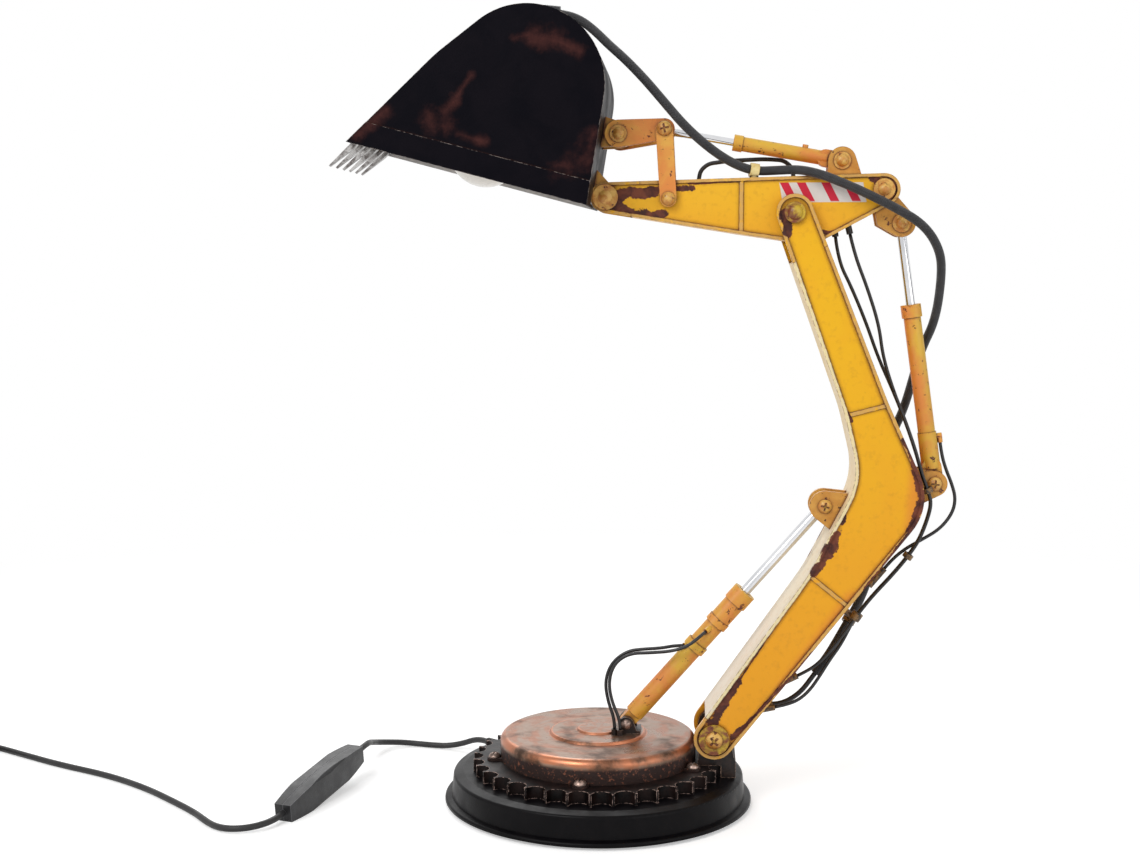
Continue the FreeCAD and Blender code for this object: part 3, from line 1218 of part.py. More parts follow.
def bucket_gland():
    """A right-angle gland: a flange nut, a sleeve along the back and a locknut inside."""
    seat, inwards = on_back(GLAND_ANGLE, 0.0, GLAND_Y)
    out = inwards * -1
    sideways = ALONG_Y.cross(out)
    centre = seat + out * GLAND_RISE
    body = rod_along(seat + out * -1.0, out, GLAND_NUT_RADIUS, GLAND_NUT_HEIGHT + 1.0)
    body = body.cut(rod_across(BUCKET_ROUND_CENTRE, BUCKET_ROUND, -FAR_OUT, FAR_OUT))
    length = BUCKET_SHEET + GLAND_STUB_END + GLAND_NUT_HEIGHT
    body = body.fuse(rod_along(seat + out * GLAND_NUT_HEIGHT, inwards, GLAND_STUB, length))
    body = body.fuse(Part.makeSphere(GLAND_SLEEVE_RADIUS, centre))
    body = body.fuse(rod_along(centre, sideways, GLAND_SLEEVE_RADIUS, GLAND_SLEEVE_LENGTH))
    # the cable room must not cut into the sheet below it
    body = body.cut(rod_along(centre + sideways * GLAND_CABLE_DEPTH, sideways, CABLE_RADIUS + CLIP_GAP, FAR_OUT))
    body = body.cut(rod_along(centre, sideways, LEAD_RADIUS, FAR_OUT))
    body = body.cut(rod_along(centre, inwards, LEAD_RADIUS, FAR_OUT))
    inside, inwards = on_back(GLAND_ANGLE, BUCKET_SHEET, GLAND_Y)
    nut = Part.Face(Part.makePolygon([polar(LOCKNUT_ACROSS / math.sqrt(3), 60 * n) for n in range(7)]))
    nut = place_along(nut.extrude(UP * LOCKNUT_HEIGHT), inside, inwards)
    nut = nut.cut(rod_along(inside, inwards, GLAND_STUB, FAR_OUT))
    nut = nut.common(rod_across(BUCKET_ROUND_CENTRE, BUCKET_ROUND - BUCKET_SHEET, -FAR_OUT, FAR_OUT))
    return [biggest(body.removeSplitter()), nut]


# Links and cylinders


def bucket_link():
    """The H-shaped link from the bucket to the top of the rockers. Its upper eyes are opened up."""
    wire = outline([("end", BUCKET_PIN, LINK_BUCKET_END), ("end", ROCKER_PIN, LINK_ROCKER_END)])
    near, far = both_sides(slab(wire, -LINK_OUTSIDE, -LINK_INSIDE))
    web = Part.makeBox(LINK_WEB[1] - LINK_WEB[0], 2 * LINK_INSIDE, LINK_WEB_THICKNESS,
                       Vec(LINK_WEB[0], -LINK_INSIDE, BUCKET_PIN[1] - 1.5))
    link = bored(near.fuse(far).fuse(web), BUCKET_PIN, PIN_RADIUS + PIN_PLAY)
    return bored(link, ROCKER_PIN, PIN_RADIUS + ROCKER_EYE_PLAY).removeSplitter()


def rocker_links():
    """Two rocker bars outside the stick, and the pin between their tops."""
    wire = outline([("end", ROCKER_FOOT, ROCKER_FOOT_END), ("end", ROCKER_PIN, ROCKER_HEAD_END)])
    bar = bored(slab(wire, -ROCKER_OUTSIDE, -ROCKER_INSIDE), ROCKER_FOOT, PIN_RADIUS + PIN_PLAY)
    return both_sides(bored(bar, ROCKER_PIN, PIN_RADIUS)) + bolt(ROCKER_PIN, PIN_RADIUS, ROCKER_OUTSIDE, 4.2, 2.2)


def placed_on_axis(shape, start, end):
    """Turns a solid made along +X so that it runs from one pivot towards another."""
    shape = shape.copy()
    turn = FreeCAD.Rotation(Vec(0, -1, 0), angle_of(start, end))
    shape.Placement = FreeCAD.Placement(point(start), turn)
    return shape


def along_x(radius, low, high):
    return Part.makeCylinder(radius, high - low, Vec(low, 0, 0), Vec(1, 0, 0))


def cylinder_barrel(start, end, size):
    """A barrel with its foot eye, collars and hose ports, bored for the rod."""
    barrel = along_x(size["barrel"], size["start"], size["length"])
    for radius, low, high in size["bands"]:
        low, high = (max(size["start"], size["length"] - back) for back in (low, high))
        barrel = barrel.fuse(along_x(radius, low, high))
    lug = outline([("end", (0.0, 0.0), size["eye"]), ("end", (size["start"] + 1.0, 0.0), size["eye"])])
    barrel = barrel.fuse(slab(lug, -size["eye_half"], size["eye_half"]))
    for x, direction, length, turn_back in size["ports"]:
        direction = Vec(*direction).normalize()
        barrel = barrel.fuse(rod_along(Vec(x, 0, 0), direction, PORT_RADIUS, length))
        if turn_back:
            bend = Vec(x, 0, 0) + direction * (length - PORT_RADIUS + 0.3)
            barrel = barrel.fuse(rod_along(bend, Vec(-1, 0, 0), PORT_RADIUS - 0.1, turn_back))
    bore_end = size["length"] - size["gland"]
    barrel = barrel.cut(along_x(size["rod"] + size["bore_gap"], size["start"] + 3.0, bore_end))
    barrel = barrel.cut(along_x(size["rod"] + ROD_PLAY, bore_end - 1.0, size["length"] + 1.0))
    barrel = bored(barrel, (0.0, 0.0), PIN_RADIUS + PIN_PLAY)
    return placed_on_axis(barrel.removeSplitter(), start, end)


def cylinder_rod(start, end, size, play):
    """A plated rod with a piston inside the barrel and an opened eye at its far end."""
    length = distance(start, end)
    rod = along_x(size["rod"], size["piston"], length - size["rod_eye"] + 1.0)
    piston_radius = size["rod"] + size["bore_gap"] - PISTON_PLAY
    rod = rod.fuse(along_x(piston_radius, size["piston"], size["piston"] + PISTON_LENGTH))
    rod = rod.fuse(rod_across((length, 0.0), size["rod_eye"], -size["eye_half"], size["eye_half"]))
    rod = bored(rod, (length, 0.0), PIN_RADIUS + play)
    return placed_on_axis(rod.removeSplitter(), start, end)


# Cables, hoses and their clips


def hose_pair():
    """The two hoses that run side by side down the back of the boom."""
    first = [(x, y + HOSE_SPACING, z) for x, y, z in HOSE_PAIR]
    second = [(x, y - HOSE_SPACING, z) for x, y, z in HOSE_PAIR]
    return HOSE_ONE_TOP + first + HOSE_ONE_END, HOSE_TWO_TOP + second + HOSE_TWO_END


def boom_clips():
    """Clips for the lamp cable, bands round the hoses, hose stubs and the grommet of the lead."""
    body = slab(boom_outline(), -BOOM_HALF, BOOM_HALF)
    plate = slab(boom_outline(), -FAR_OUT, BOOM_SIDE)
    pieces = [saddle(LAMP_CABLE, n, CABLE_RADIUS, ALONG_Y * -1, 7.5, plate) for n in SIDE_CLIP_BENDS]
    first, second = hose_pair()
    middle_route = [((a[0] + b[0]) / 2, (a[1] + b[1]) / 2, (a[2] + b[2]) / 2)
                    for a, b in zip(first, second)]
    for n in PAIR_BAND_BENDS:
        middle, direction = bend_middle(middle_route, n)
        pieces.append(biggest(ring(middle, direction, BAND_RADIUS, BAND_BORE, BAND_WIDTH).cut(body)))
    pieces.append(low_clip(middle_route, body))
    for route in (first, second, KNEE_HOSE):
        pieces.append(socket(route[-1], route[-2], body))
    return pieces + [lead_grommet()]


def low_clip(middle_route, body):
    """Two rings on one post behind the boom, for the lamp cable and for the pair of hoses."""
    cable_middle, cable_way = bend_middle(LAMP_CABLE, LOW_CLIP_BEND)
    hose_middle, hose_way = bend_middle(middle_route, len(HOSE_ONE_TOP) + len(HOSE_PAIR) - 1)
    cable_ring = ring(cable_middle, cable_way, CABLE_RADIUS + CLIP_GAP + CLIP_WALL, CABLE_RADIUS + CLIP_GAP, CLIP_WIDTH)
    hose_ring = ring(hose_middle, hose_way, BAND_RADIUS + 0.2, BAND_BORE, CLIP_WIDTH)
    bar = rod_along(hose_middle, (cable_middle - hose_middle).normalize(), 1.6,
                    (cable_middle - hose_middle).Length)
    post_top = hose_middle + (cable_middle - hose_middle) * 0.38
    rear_line = tangent_ends((BOOM_FOOT, BOOM_FOOT_END), (BOOM_OUTER_KNEE, 0.0))
    inwards = point(along((0, 0), angle_of(*rear_line) + 90, 1.0))
    post = rod_along(post_top, inwards, 2.0, 20.0).cut(body)
    post = min(post.Solids, key=lambda solid: solid.CenterOfMass.distanceToPoint(post_top))
    clip = bar.fuse(post)
    for middle, way, radius in ((cable_middle, cable_way, CABLE_RADIUS + CLIP_GAP),
                                (hose_middle, hose_way, BAND_BORE)):
        clip = clip.cut(rod_along(middle - way * 10, way, radius, 20.0))
    return biggest(clip.fuse(cable_ring).fuse(hose_ring).removeSplitter())


def lead_grommet():
    entry = Vec(*BOOM_LEAD[-1])
    forward = Vec(1, 0, 0)
    body = rod_along(entry - forward * 6.0, forward, LEAD_RADIUS + CLIP_GAP + 1.0, 9.5)
    body = body.fuse(rod_along(entry + forward * 1.0, forward, LEAD_RADIUS + 2.8, 1.4))
    return body.cut(rod_along(entry - forward * 10, forward, LEAD_RADIUS + CLIP_GAP, 20.0))


# Mains cord, switch and plug


def switch_placement():
    """The switch lies on its curved belly with its near end down."""
    sag = SWITCH_HALF_HEIGHT - SWITCH_END_HEIGHT
    belly = (SWITCH_HALF_LENGTH ** 2 + sag ** 2) / (2 * sag)
    height = belly + FLOOR_GAP - (belly - SWITCH_HALF_HEIGHT) * math.cos(math.radians(SWITCH_TILT))
    turn = FreeCAD.Rotation(UP, SWITCH_YAW) * FreeCAD.Rotation(ALONG_Y, -SWITCH_TILT)
    return FreeCAD.Placement(Vec(SWITCH_CENTRE[0], SWITCH_CENTRE[1], height), turn)


def bowed(half_length, end_half, middle_half):
    """A closed outline with two bowed long sides, in X and Z."""
    corners = [(-half_length, -end_half), (half_length, -end_half), (half_length, end_half), (-half_length, end_half)]
    low_left, low_right, high_right, high_left = [point(c) for c in corners]
    return Part.Wire([
        Part.Arc(low_left, point((0, -middle_half)), low_right).toShape(),
        Part.LineSegment(low_right, high_right).toShape(),
        Part.Arc(high_right, point((0, middle_half)), high_left).toShape(),
        Part.LineSegment(high_left, low_left).toShape(),
    ])


def switch_body():
    """The outer form of the switch, along X, with its thickness along Y."""
    reach = 2 * SWITCH_HALF_LENGTH
    side = slab(bowed(SWITCH_HALF_LENGTH, SWITCH_END_HEIGHT, SWITCH_HALF_HEIGHT), -reach, reach)
    plan = slab(bowed(SWITCH_HALF_LENGTH, SWITCH_END_THICKNESS, SWITCH_HALF_THICKNESS), -reach, reach)
    plan.rotate(Vec(0, 0, 0), Vec(1, 0, 0), 90)
    half_y, half_z = SWITCH_HALF_THICKNESS, SWITCH_HALF_HEIGHT
    section = Part.makeBox(reach, 2 * half_y, 2 * half_z, Vec(-reach / 2, -half_y, -half_z))
    long_edges = [e for e in section.Edges if abs(e.Vertexes[0].X - e.Vertexes[1].X) > 1]
    return section.makeFillet(SWITCH_EDGE_ROUND, long_edges).common(side).common(plan)


def switch_shells():
    """Two half shells, the near one plain and the far one with the pocket of the rocker."""
    body = switch_body()
    reach = 2 * SWITCH_HALF_LENGTH
    far_half = Part.makeBox(2 * reach, reach, 2 * reach, Vec(-reach, 0, -reach))
    near, far = body.cut(far_half), body.common(far_half)
    half_x = ROCKER_KEY_LENGTH + 2 * ROCKER_KEY_GAP
    half_z = ROCKER_KEY_HEIGHT + ROCKER_KEY_GAP
    pocket = Part.makeBox(2 * half_x, reach, 2 * half_z,
                          Vec(-half_x, ROCKER_KEY_PIVOT - ROCKER_POCKET_DEPTH, -half_z))
    far = far.cut(pocket)
    pin_reach = half_z + 1.5
    far = far.cut(rod_along(Vec(0, ROCKER_KEY_PIVOT, -pin_reach), UP, ROCKER_KEY_PIN + PIN_PLAY, 2 * pin_reach))
    for shell in (near, far):
        shell.Placement = switch_placement()
    return near, far


def switch_rocker():
    """The key of the switch, tilted to one side on its pin."""
    half = ROCKER_KEY_LENGTH
    wire = polygon([(-half, 2.0), (0.0, -1.5), (half, 2.0), (half, 5.0), (0.0, ROCKER_KEY_CREST), (-half, 5.0)])
    key = slab(wire, -ROCKER_KEY_HEIGHT, ROCKER_KEY_HEIGHT)
    key = key.fuse(rod_across((0.0, 0.0), ROCKER_KEY_PIN, -ROCKER_KEY_HEIGHT - 1.5, ROCKER_KEY_HEIGHT + 1.5))
    key.rotate(Vec(0, 0, 0), ALONG_Y, -ROCKER_KEY_TILT)
    key.rotate(Vec(0, 0, 0), Vec(1, 0, 0), -90)
    # the outline was drawn with its depth along Z, which now points out of the far shell
    key.translate(Vec(0, ROCKER_KEY_PIVOT, 0))
    key = key.removeSplitter()
    key.Placement = switch_placement() * key.Placement
    return key


def switch_end(side):
    """The middle of an end face of the switch and the direction out of it."""
    frame = switch_placement()
    return (frame.multVec(Vec(side * SWITCH_HALF_LENGTH, 0, 0)),
            frame.Rotation.multVec(Vec(side, 0, 0)))


def coil_place(turns):
    """A point of the coil. The spiral goes in and out again, and climbs where it reverses."""
    layer, part = divmod(turns, COIL_TURNS_PER_LAYER)
    if layer >= COIL_LAYERS:
        layer, part = COIL_LAYERS - 1, turns - (COIL_LAYERS - 1) * COIL_TURNS_PER_LAYER
    share = part / COIL_TURNS_PER_LAYER
    if layer % 2:
        share = 1 - share
    radius = COIL_OUTER + (COIL_INNER - COIL_OUTER) * share
    height = COIL_LOWEST
    for n in range(1, COIL_LAYERS):
        climb = min(max(turns - n * COIL_TURNS_PER_LAYER + 0.25, 0.0), 0.5) / 0.5
        height += COIL_STEP * (1 - math.cos(math.pi * climb)) / 2
    angle = COIL_START_ANGLE + 360 * turns
    return Vec(COIL_CENTRE[0], COIL_CENTRE[1], 0) + polar(radius, angle, height)


def coil_heading(turns):
    total = COIL_LAYERS * COIL_TURNS_PER_LAYER
    low, high = max(turns - 0.02, 0.0), min(turns + 0.02, total)
    return (coil_place(high) - coil_place(low)).normalize()


def coil_ends():
    """The two ends of the coil, each one diameter past its last turn, and the headings there."""
    total = COIL_LAYERS * COIL_TURNS_PER_LAYER
    first, last = coil_heading(0.0), coil_heading(total)
    return (coil_place(0.0) - first * 2 * CORD_RADIUS, first,
            coil_place(total) + last * 2 * CORD_RADIUS, last)


def cord_coil():
    """One unbroken tube on pairs of tangent arcs, a quarter turn each."""
    total = COIL_LAYERS * COIL_TURNS_PER_LAYER
    start, first, end, last = coil_ends()
    edges = [Part.LineSegment(start, coil_place(0.0)).toShape()]
    least = COIL_OUTER
    count = round(4 * total)
    for n in range(count):
        low, high = n * total / count, (n + 1) * total / count
        here, there = coil_place(low), coil_place(high)
        out, back = coil_heading(low), coil_heading(high)
        span = there - here
        both = out + back
        spread = 2 * (1 - out.dot(back))
        leg = (math.sqrt(span.dot(both) ** 2 + spread * span.dot(span)) - span.dot(both)) / spread
        near_corner, far_corner = here + out * leg, there - back * leg
        joint = (near_corner + far_corner) / 2
        for begin, corner, finish in ((here, near_corner, joint), (joint, far_corner, there)):
            to_begin, to_finish = (begin - corner).normalize(), (finish - corner).normalize()
            half_turn = (math.pi - to_begin.getAngle(to_finish)) / 2
            bend = leg / math.tan(half_turn)
            crown = corner + (to_begin + to_finish).normalize() * (bend / math.cos(half_turn) - bend)
            edges.append(Part.Arc(begin, crown, finish).toShape())
            least = min(least, bend)
    edges.append(Part.LineSegment(coil_place(total), end).toShape())
    path = Part.Wire(edges)
    circle = Part.Circle(start, first, CORD_RADIUS).toShape()
    solid = path.makePipeShell([Part.Wire(circle)], True, False)
    samples = [coil_place(total * n / 720) for n in range(721)]
    apart = min(a.distanceToPoint(b) for n, a in enumerate(samples) for b in samples[n + 30:])
    print("coil length %.0f, least radius %.1f, volume %.4f of section times length, least gap %.2f" % (
        path.Length, least, solid.Volume / (math.pi * CORD_RADIUS ** 2 * path.Length), apart - 2 * CORD_RADIUS))
    return solid


def cord_to_switch():
    end, out = switch_end(1)
    return CORD_TO_SWITCH + [tuple(end + out * 13.0), tuple(end)]


def cord_from_switch():
    end, out = switch_end(-1)
    start, heading = coil_ends()[:2]
    return [tuple(end), tuple(end + out * 7.0)] + CORD_FROM_SWITCH + [tuple(start - heading * 23.0), tuple(start)]


def cord_to_plug():
    end, heading = coil_ends()[2:]
    return [tuple(end), tuple(end + heading * 7.0)] + CORD_TO_PLUG


def plug():
    """A flat two-pin plug with a tapered strain relief. It lies beside the coil."""
    shoulder = outline([
        ("corner", (PLUG_SHOULDER, -5.0), 0.0), ("corner", (PLUG_SHOULDER + 7, -6.5), 8.0),
        ("corner", (PLUG_SHOULDER + 17, -PLUG_HALF_WIDTH), 6.0), ("corner", (PLUG_LENGTH, -PLUG_HALF_WIDTH), 3.0),
        ("corner", (PLUG_LENGTH, PLUG_HALF_WIDTH), 3.0), ("corner", (PLUG_SHOULDER + 17, PLUG_HALF_WIDTH), 6.0),
        ("corner", (PLUG_SHOULDER + 7, 6.5), 8.0), ("corner", (PLUG_SHOULDER, 5.0), 0.0),
    ])
    body = slab(shoulder, -PLUG_HALF_THICKNESS, PLUG_HALF_THICKNESS)
    relief = Part.makeCone(2.6, 4.6, PLUG_SHOULDER + 1, Vec(0, 0, 0), Vec(1, 0, 0))
    body = body.fuse(relief).removeSplitter()
    solids = [body]
    for side in (-0.5, 0.5):
        pin = rod_along(Vec(PLUG_LENGTH, 0, side * PLUG_PIN_SPACING), Vec(1, 0, 0), PLUG_PIN_RADIUS,
                        PLUG_PIN_LENGTH - PLUG_PIN_RADIUS)
        tip = Part.makeSphere(PLUG_PIN_RADIUS, Vec(PLUG_LENGTH + PLUG_PIN_LENGTH - PLUG_PIN_RADIUS, 0,
                                                   side * PLUG_PIN_SPACING))
        solids.append(pin.fuse(tip).removeSplitter())
    end = Vec(*CORD_TO_PLUG[-1])
    turn = FreeCAD.Rotation(Vec(0, -1, 0), Vec(0, 0, 1), Vec(-1, 0, 0), "XYZ")
    for solid in solids:
        solid.Placement = FreeCAD.Placement(end, turn) * solid.Placement
    return solids


def main():
    save("felt_pad", felt_pad())
    save("base_casting", base_casting())
    save("ballast_plate", ballast_plate())
    save("sprocket_ring", sprocket_ring())
    save("turntable_dish", turntable_dish())
    save("base_fasteners", *base_screws(), *centre_bolt(), *bolt(BOOM_CYL_FOOT, PIN_RADIUS, EAR_FACE, 3.2, 1.8))
    save("boom_foot_bracket", boom_foot_bracket())
    save("cylinder_foot_bracket", cylinder_foot_bracket(), *hose_sleeves())
    base_lead = tube(BASE_LEAD, LEAD_RADIUS, "lead in the base")[0]
    save("base_wiring", terminal_block(), inner_cord(), base_lead.cut(terminal_block()))
    save("cord_strain_relief", strain_relief())

    inner, ends, front, rear = boom_bands()
    near, far = boom_sides(inner, ends)
    save("boom_side_near", near)
    save("boom_side_far", far)
    save("boom_front_flange", front)
    save("boom_rear_flange", rear)
    save("boom_brackets", *boom_brackets())
    save("boom_pins", *boom_pins())
    save("boom_clips", *boom_clips())

    inner, ends, top, bottom = stick_bands()
    near, far = stick_sides(inner, ends)
    save("stick_side_near", near)
    save("stick_side_far", far)
    save("stick_top_flange", top)
    save("stick_bottom_flange", bottom)
    save("stick_hinge_sleeve", stick_sleeve())
    save("stick_brackets", *stick_brackets())
    save("stick_pins", *stick_pins())
    save("stick_pipes", *stick_pipes())
    clip = saddle(LAMP_CABLE, STICK_CLIP_BEND, CABLE_RADIUS, UP * -1, 8.0, stick_solid())
    save("stick_cable_clip", clip)

    near, far = bucket_sides()
    save("bucket_side_near", near)
    save("bucket_side_far", far)
    save("bucket_back_sheet", bucket_back_sheet())
    save("bucket_teeth", *bucket_teeth())
    save("bucket_lugs", *bucket_lugs())
    save("bucket_pins", *bucket_pins())
    save("lamp_holder", lamp_holder())
    save("bulb", *bulb())
    save("bucket_gland", *bucket_gland())
    save("bucket_lead", *tube(BUCKET_LEAD, LEAD_RADIUS, "lead in the bucket"))

    save("bucket_link", bucket_link())
    save("rocker_links", *rocker_links())
    save("boom_cylinder_barrel", cylinder_barrel(BOOM_CYL_FOOT, BOOM_CYL_PIN, BOOM_CYLINDER))
    save("boom_cylinder_rod", cylinder_rod(BOOM_CYL_FOOT, BOOM_CYL_PIN, BOOM_CYLINDER, BOOM_EYE_PLAY))
    save("stick_cylinder_barrel", cylinder_barrel(STICK_CYL_FOOT, STICK_CYL_PIN, STICK_CYLINDER))
    save("stick_cylinder_rod", cylinder_rod(STICK_CYL_FOOT, STICK_CYL_PIN, STICK_CYLINDER, STICK_EYE_PLAY))
    save("bucket_cylinder_barrel", cylinder_barrel(BUCKET_CYL_FOOT, ROCKER_PIN, BUCKET_CYLINDER))
    save("bucket_cylinder_rod", cylinder_rod(BUCKET_CYL_FOOT, ROCKER_PIN, BUCKET_CYLINDER, ROCKER_EYE_PLAY))

    bucket_part, elbow_part, boom_part = tube(LAMP_CABLE, CABLE_RADIUS, "lamp cable", LAMP_CABLE_CUTS)
    hose_tops, hose_ends = [], []
    for name, route in zip(("first hose", "second hose"), hose_pair()):
        top, end = tube(route, HOSE_RADIUS, name, (HOSE_CUT,))
        hose_tops.append(top)
        hose_ends.append(end)
    save("lamp_cable_bucket", bucket_part)
    save("elbow_cables", elbow_part, *hose_tops)
    save("lamp_cable_boom", boom_part)
    save("boom_lines", *hose_ends, *tube(BOOM_LEAD, LEAD_RADIUS, "lead behind the boom"))
    save("knee_hose", *tube(KNEE_HOSE, HOSE_RADIUS, "knee hose"))
    save("boom_lead_bend", *tube(LEAD_BEND, LEAD_RADIUS, "lead at the boom foot"))
    cylinder_hoses = tube(CYLINDER_HOSE_LOW, HOSE_RADIUS, "outer cylinder hose")
    cylinder_hoses += tube(CYLINDER_HOSE_HIGH, HOSE_RADIUS, "inner cylinder hose")
    save("boom_cylinder_hoses", *cylinder_hoses)

    save("mains_cord_base", *tube(cord_to_switch(), CORD_RADIUS, "cord to the switch"))
    near, far = switch_shells()
    save("switch_shell_near", near)
    save("switch_shell_far", far)
    save("switch_rocker", switch_rocker())
    save("mains_cord_lead", *tube(cord_from_switch(), CORD_RADIUS, "cord to the coil"))
    save("mains_cord_coil", cord_coil())
    save("mains_cord_tail", *tube(cord_to_plug(), CORD_RADIUS, "cord to the plug"))
    save("mains_plug", *plug())


main()
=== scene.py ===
# %% [markdown]
# # An excavator arm that is a table lamp
#
# The lamp stands on a round black base with a toothed ring and a copper dish. A painted boom and
# stick hang between pinned brackets, three small cylinders follow them, and the bucket holds an
# opal bulb. The imported model gives every rigid part its place. This script adds what the solids
# leave out: cables that hang, paint that is worn, the heads of screws and the bulb.

# %% Load the imported model
import bpy
import bmesh
import json
import math
from mathutils import Matrix, Vector


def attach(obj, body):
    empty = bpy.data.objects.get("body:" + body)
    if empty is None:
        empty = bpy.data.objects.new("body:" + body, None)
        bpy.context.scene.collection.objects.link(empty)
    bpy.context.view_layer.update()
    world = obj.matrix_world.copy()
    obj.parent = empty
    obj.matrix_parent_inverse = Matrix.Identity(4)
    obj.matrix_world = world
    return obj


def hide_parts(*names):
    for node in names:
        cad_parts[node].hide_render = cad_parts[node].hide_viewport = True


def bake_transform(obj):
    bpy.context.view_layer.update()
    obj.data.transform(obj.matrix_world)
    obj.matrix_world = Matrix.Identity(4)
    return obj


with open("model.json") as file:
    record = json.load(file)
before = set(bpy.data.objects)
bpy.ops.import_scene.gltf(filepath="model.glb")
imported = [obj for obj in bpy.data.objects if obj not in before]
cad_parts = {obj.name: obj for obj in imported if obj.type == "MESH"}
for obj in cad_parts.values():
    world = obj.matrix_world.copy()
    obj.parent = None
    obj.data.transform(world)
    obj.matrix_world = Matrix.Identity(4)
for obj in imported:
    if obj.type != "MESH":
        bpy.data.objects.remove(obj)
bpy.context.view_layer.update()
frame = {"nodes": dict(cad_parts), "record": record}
scene = bpy.context.scene
MM = 0.001

# %% [markdown]
# ## Camera
#
# The picture was taken from a little above the middle of the arm, almost square to its side. A
# camera can be aimed with a constraint or by turning it with numbers. Numbers are used, because
# the ellipses of the base and the ring fix both turns to a fraction of a degree.

# %% Camera at the height of the arm
CAMERA_PLACE = (0.05609, -0.96970, 0.32341)
CAMERA_LENS = 51.647
LOOK_DOWN = 0.0990
LOOK_LEFT = 0.0753

camera_data = bpy.data.cameras.new("camera")
camera_data.lens = CAMERA_LENS
camera_data.sensor_width = 36.0
camera_data.sensor_fit = "HORIZONTAL"
camera_data.clip_start = 0.01
camera = bpy.data.objects.new("camera", camera_data)
camera.location = CAMERA_PLACE
camera.rotation_euler = (math.pi / 2 - LOOK_DOWN, 0.0, LOOK_LEFT)
scene.collection.objects.link(camera)
scene.camera = camera
scene.view_settings.view_transform = "Standard"
print("camera at", CAMERA_PLACE, "lens", CAMERA_LENS)

# %% [markdown]
# ## Small helpers for node trees
#
# Every finish below is a node tree. Nodes can be placed one by one with long lines of their own.
# One class that holds the tree and has a short word for each kind of node keeps every tree
# readable, because an input may be a number, a colour or another node's output.

# %% Helpers that place nodes
def tone(red, green, blue):
    """A colour from 0 to 255 as a paint chart gives it, turned into linear light."""
    linear = [(v / 255 / 12.92) if v <= 10 else ((v / 255 + 0.055) / 1.055) ** 2.4
              for v in (red, green, blue)]
    return (*linear, 1.0)


class Tree:
    """Places the nodes of one tree."""

    def __init__(self, tree):
        self.tree = tree

    def put(self, value, socket):
        """Links an output to an input, or writes a plain value into it."""
        if isinstance(value, bpy.types.NodeSocket):
            self.tree.links.new(value, socket)
        else:
            socket.default_value = value

    def node(self, kind, inputs=None, **settings):
        made = self.tree.nodes.new(kind)
        for name, value in settings.items():
            setattr(made, name, value)
        for name, value in (inputs or {}).items():
            self.put(value, made.inputs[name])
        return made

    def group(self, group, **inputs):
        made = self.node("ShaderNodeGroup", node_tree=group)
        for name, value in inputs.items():
            self.put(value, made.inputs[name.replace("_", " ")])
        return made.outputs

    def math(self, operation, *values, clamp=False):
        return self.node("ShaderNodeMath", dict(enumerate(values)), operation=operation,
                         use_clamp=clamp).outputs[0]

    def add(self, *values):
        return self.math("ADD", *values)

    def sub(self, *values):
        return self.math("SUBTRACT", *values)

    def mul(self, *values):
        return self.math("MULTIPLY", *values)

    def div(self, *values):
        return self.math("DIVIDE", *values)

    def most(self, *values):
        return self.math("MAXIMUM", *values)

    def spread(self, value, amount):
        """A noise moved to lie evenly round zero, times an amount."""
        return self.mul(self.sub(value, 0.5), amount)

    def vector(self, operation, *values, output="Vector"):
        return self.node("ShaderNodeVectorMath", dict(enumerate(values)),
                         operation=operation).outputs[output]

    def dot(self, first, second):
        return self.vector("DOT_PRODUCT", first, second, output="Value")

    def length(self, value):
        return self.vector("LENGTH", value, output="Value")

    def axes(self, value):
        return self.node("ShaderNodeSeparateXYZ", {0: value}).outputs

    def ramp(self, value, low, high, start=0.0, end=1.0):
        """A smooth step of a value from low to high."""
        return self.node("ShaderNodeMapRange",
                         {"Value": value, "From Min": low, "From Max": high, "To Min": start,
                          "To Max": end}, interpolation_type="SMOOTHSTEP").outputs["Result"]

    def mix(self, share, first, second):
        return self.node("ShaderNodeMix", {0: share, 6: first, 7: second},
                         data_type="RGBA").outputs[2]

    def noise(self, vector, scale, detail=4.0, rough=0.55, warp=0.0):
        return self.node("ShaderNodeTexNoise",
                         {"Vector": vector, "Scale": scale, "Detail": detail, "Roughness": rough,
                          "Distortion": warp}).outputs["Fac"]


print("node helpers ready")

# %% [markdown]
# ## Floor, backdrop and light
#
# The lamp was photographed on a white sweep with only a faint shadow. A big white sweep could be
# lit until it burns out, but then the paint burns out too. Here the rays that the camera, a
# reflection or glass sends see plain white, while the lamps stay at a level at which a colour
# renders as it is written. Close to the lamp the floor is an ordinary pale sheet, so it keeps the
# shadow.

# %% Backdrop that is white to the eye and soft as a light
WHITE = (1.0, 1.0, 1.0, 1.0)
SKY_LIGHT = 0.42


def seen_directly(tree):
    """1 for rays from the camera, from reflections and through glass."""
    path = tree.node("ShaderNodeLightPath").outputs
    return tree.most(tree.most(path["Is Camera Ray"], path["Is Glossy Ray"]),
                     path["Is Transmission Ray"])


world = bpy.data.worlds.new("white_sweep")
scene.world = world
world.use_nodes = True
world.node_tree.nodes.clear()
tree = Tree(world.node_tree)
as_light = tree.node("ShaderNodeBackground", {"Color": WHITE, "Strength": SKY_LIGHT})
as_white = tree.node("ShaderNodeBackground", {"Color": WHITE, "Strength": 1.0})
sky = tree.node("ShaderNodeMixShader",
                {0: seen_directly(tree), 1: as_light.outputs[0], 2: as_white.outputs[0]})
tree.node("ShaderNodeOutputWorld", {"Surface": sky.outputs[0]})
print("sky light", SKY_LIGHT)

# %% Floor sheet
FLOOR_HALF = 12.0
NEAR_FLOOR = 0.45
FAR_FLOOR = 1.0
SHEET_TONE = 0.86
BOUNCE_TONE = 0.8
SHEET_GLOW = 0.42

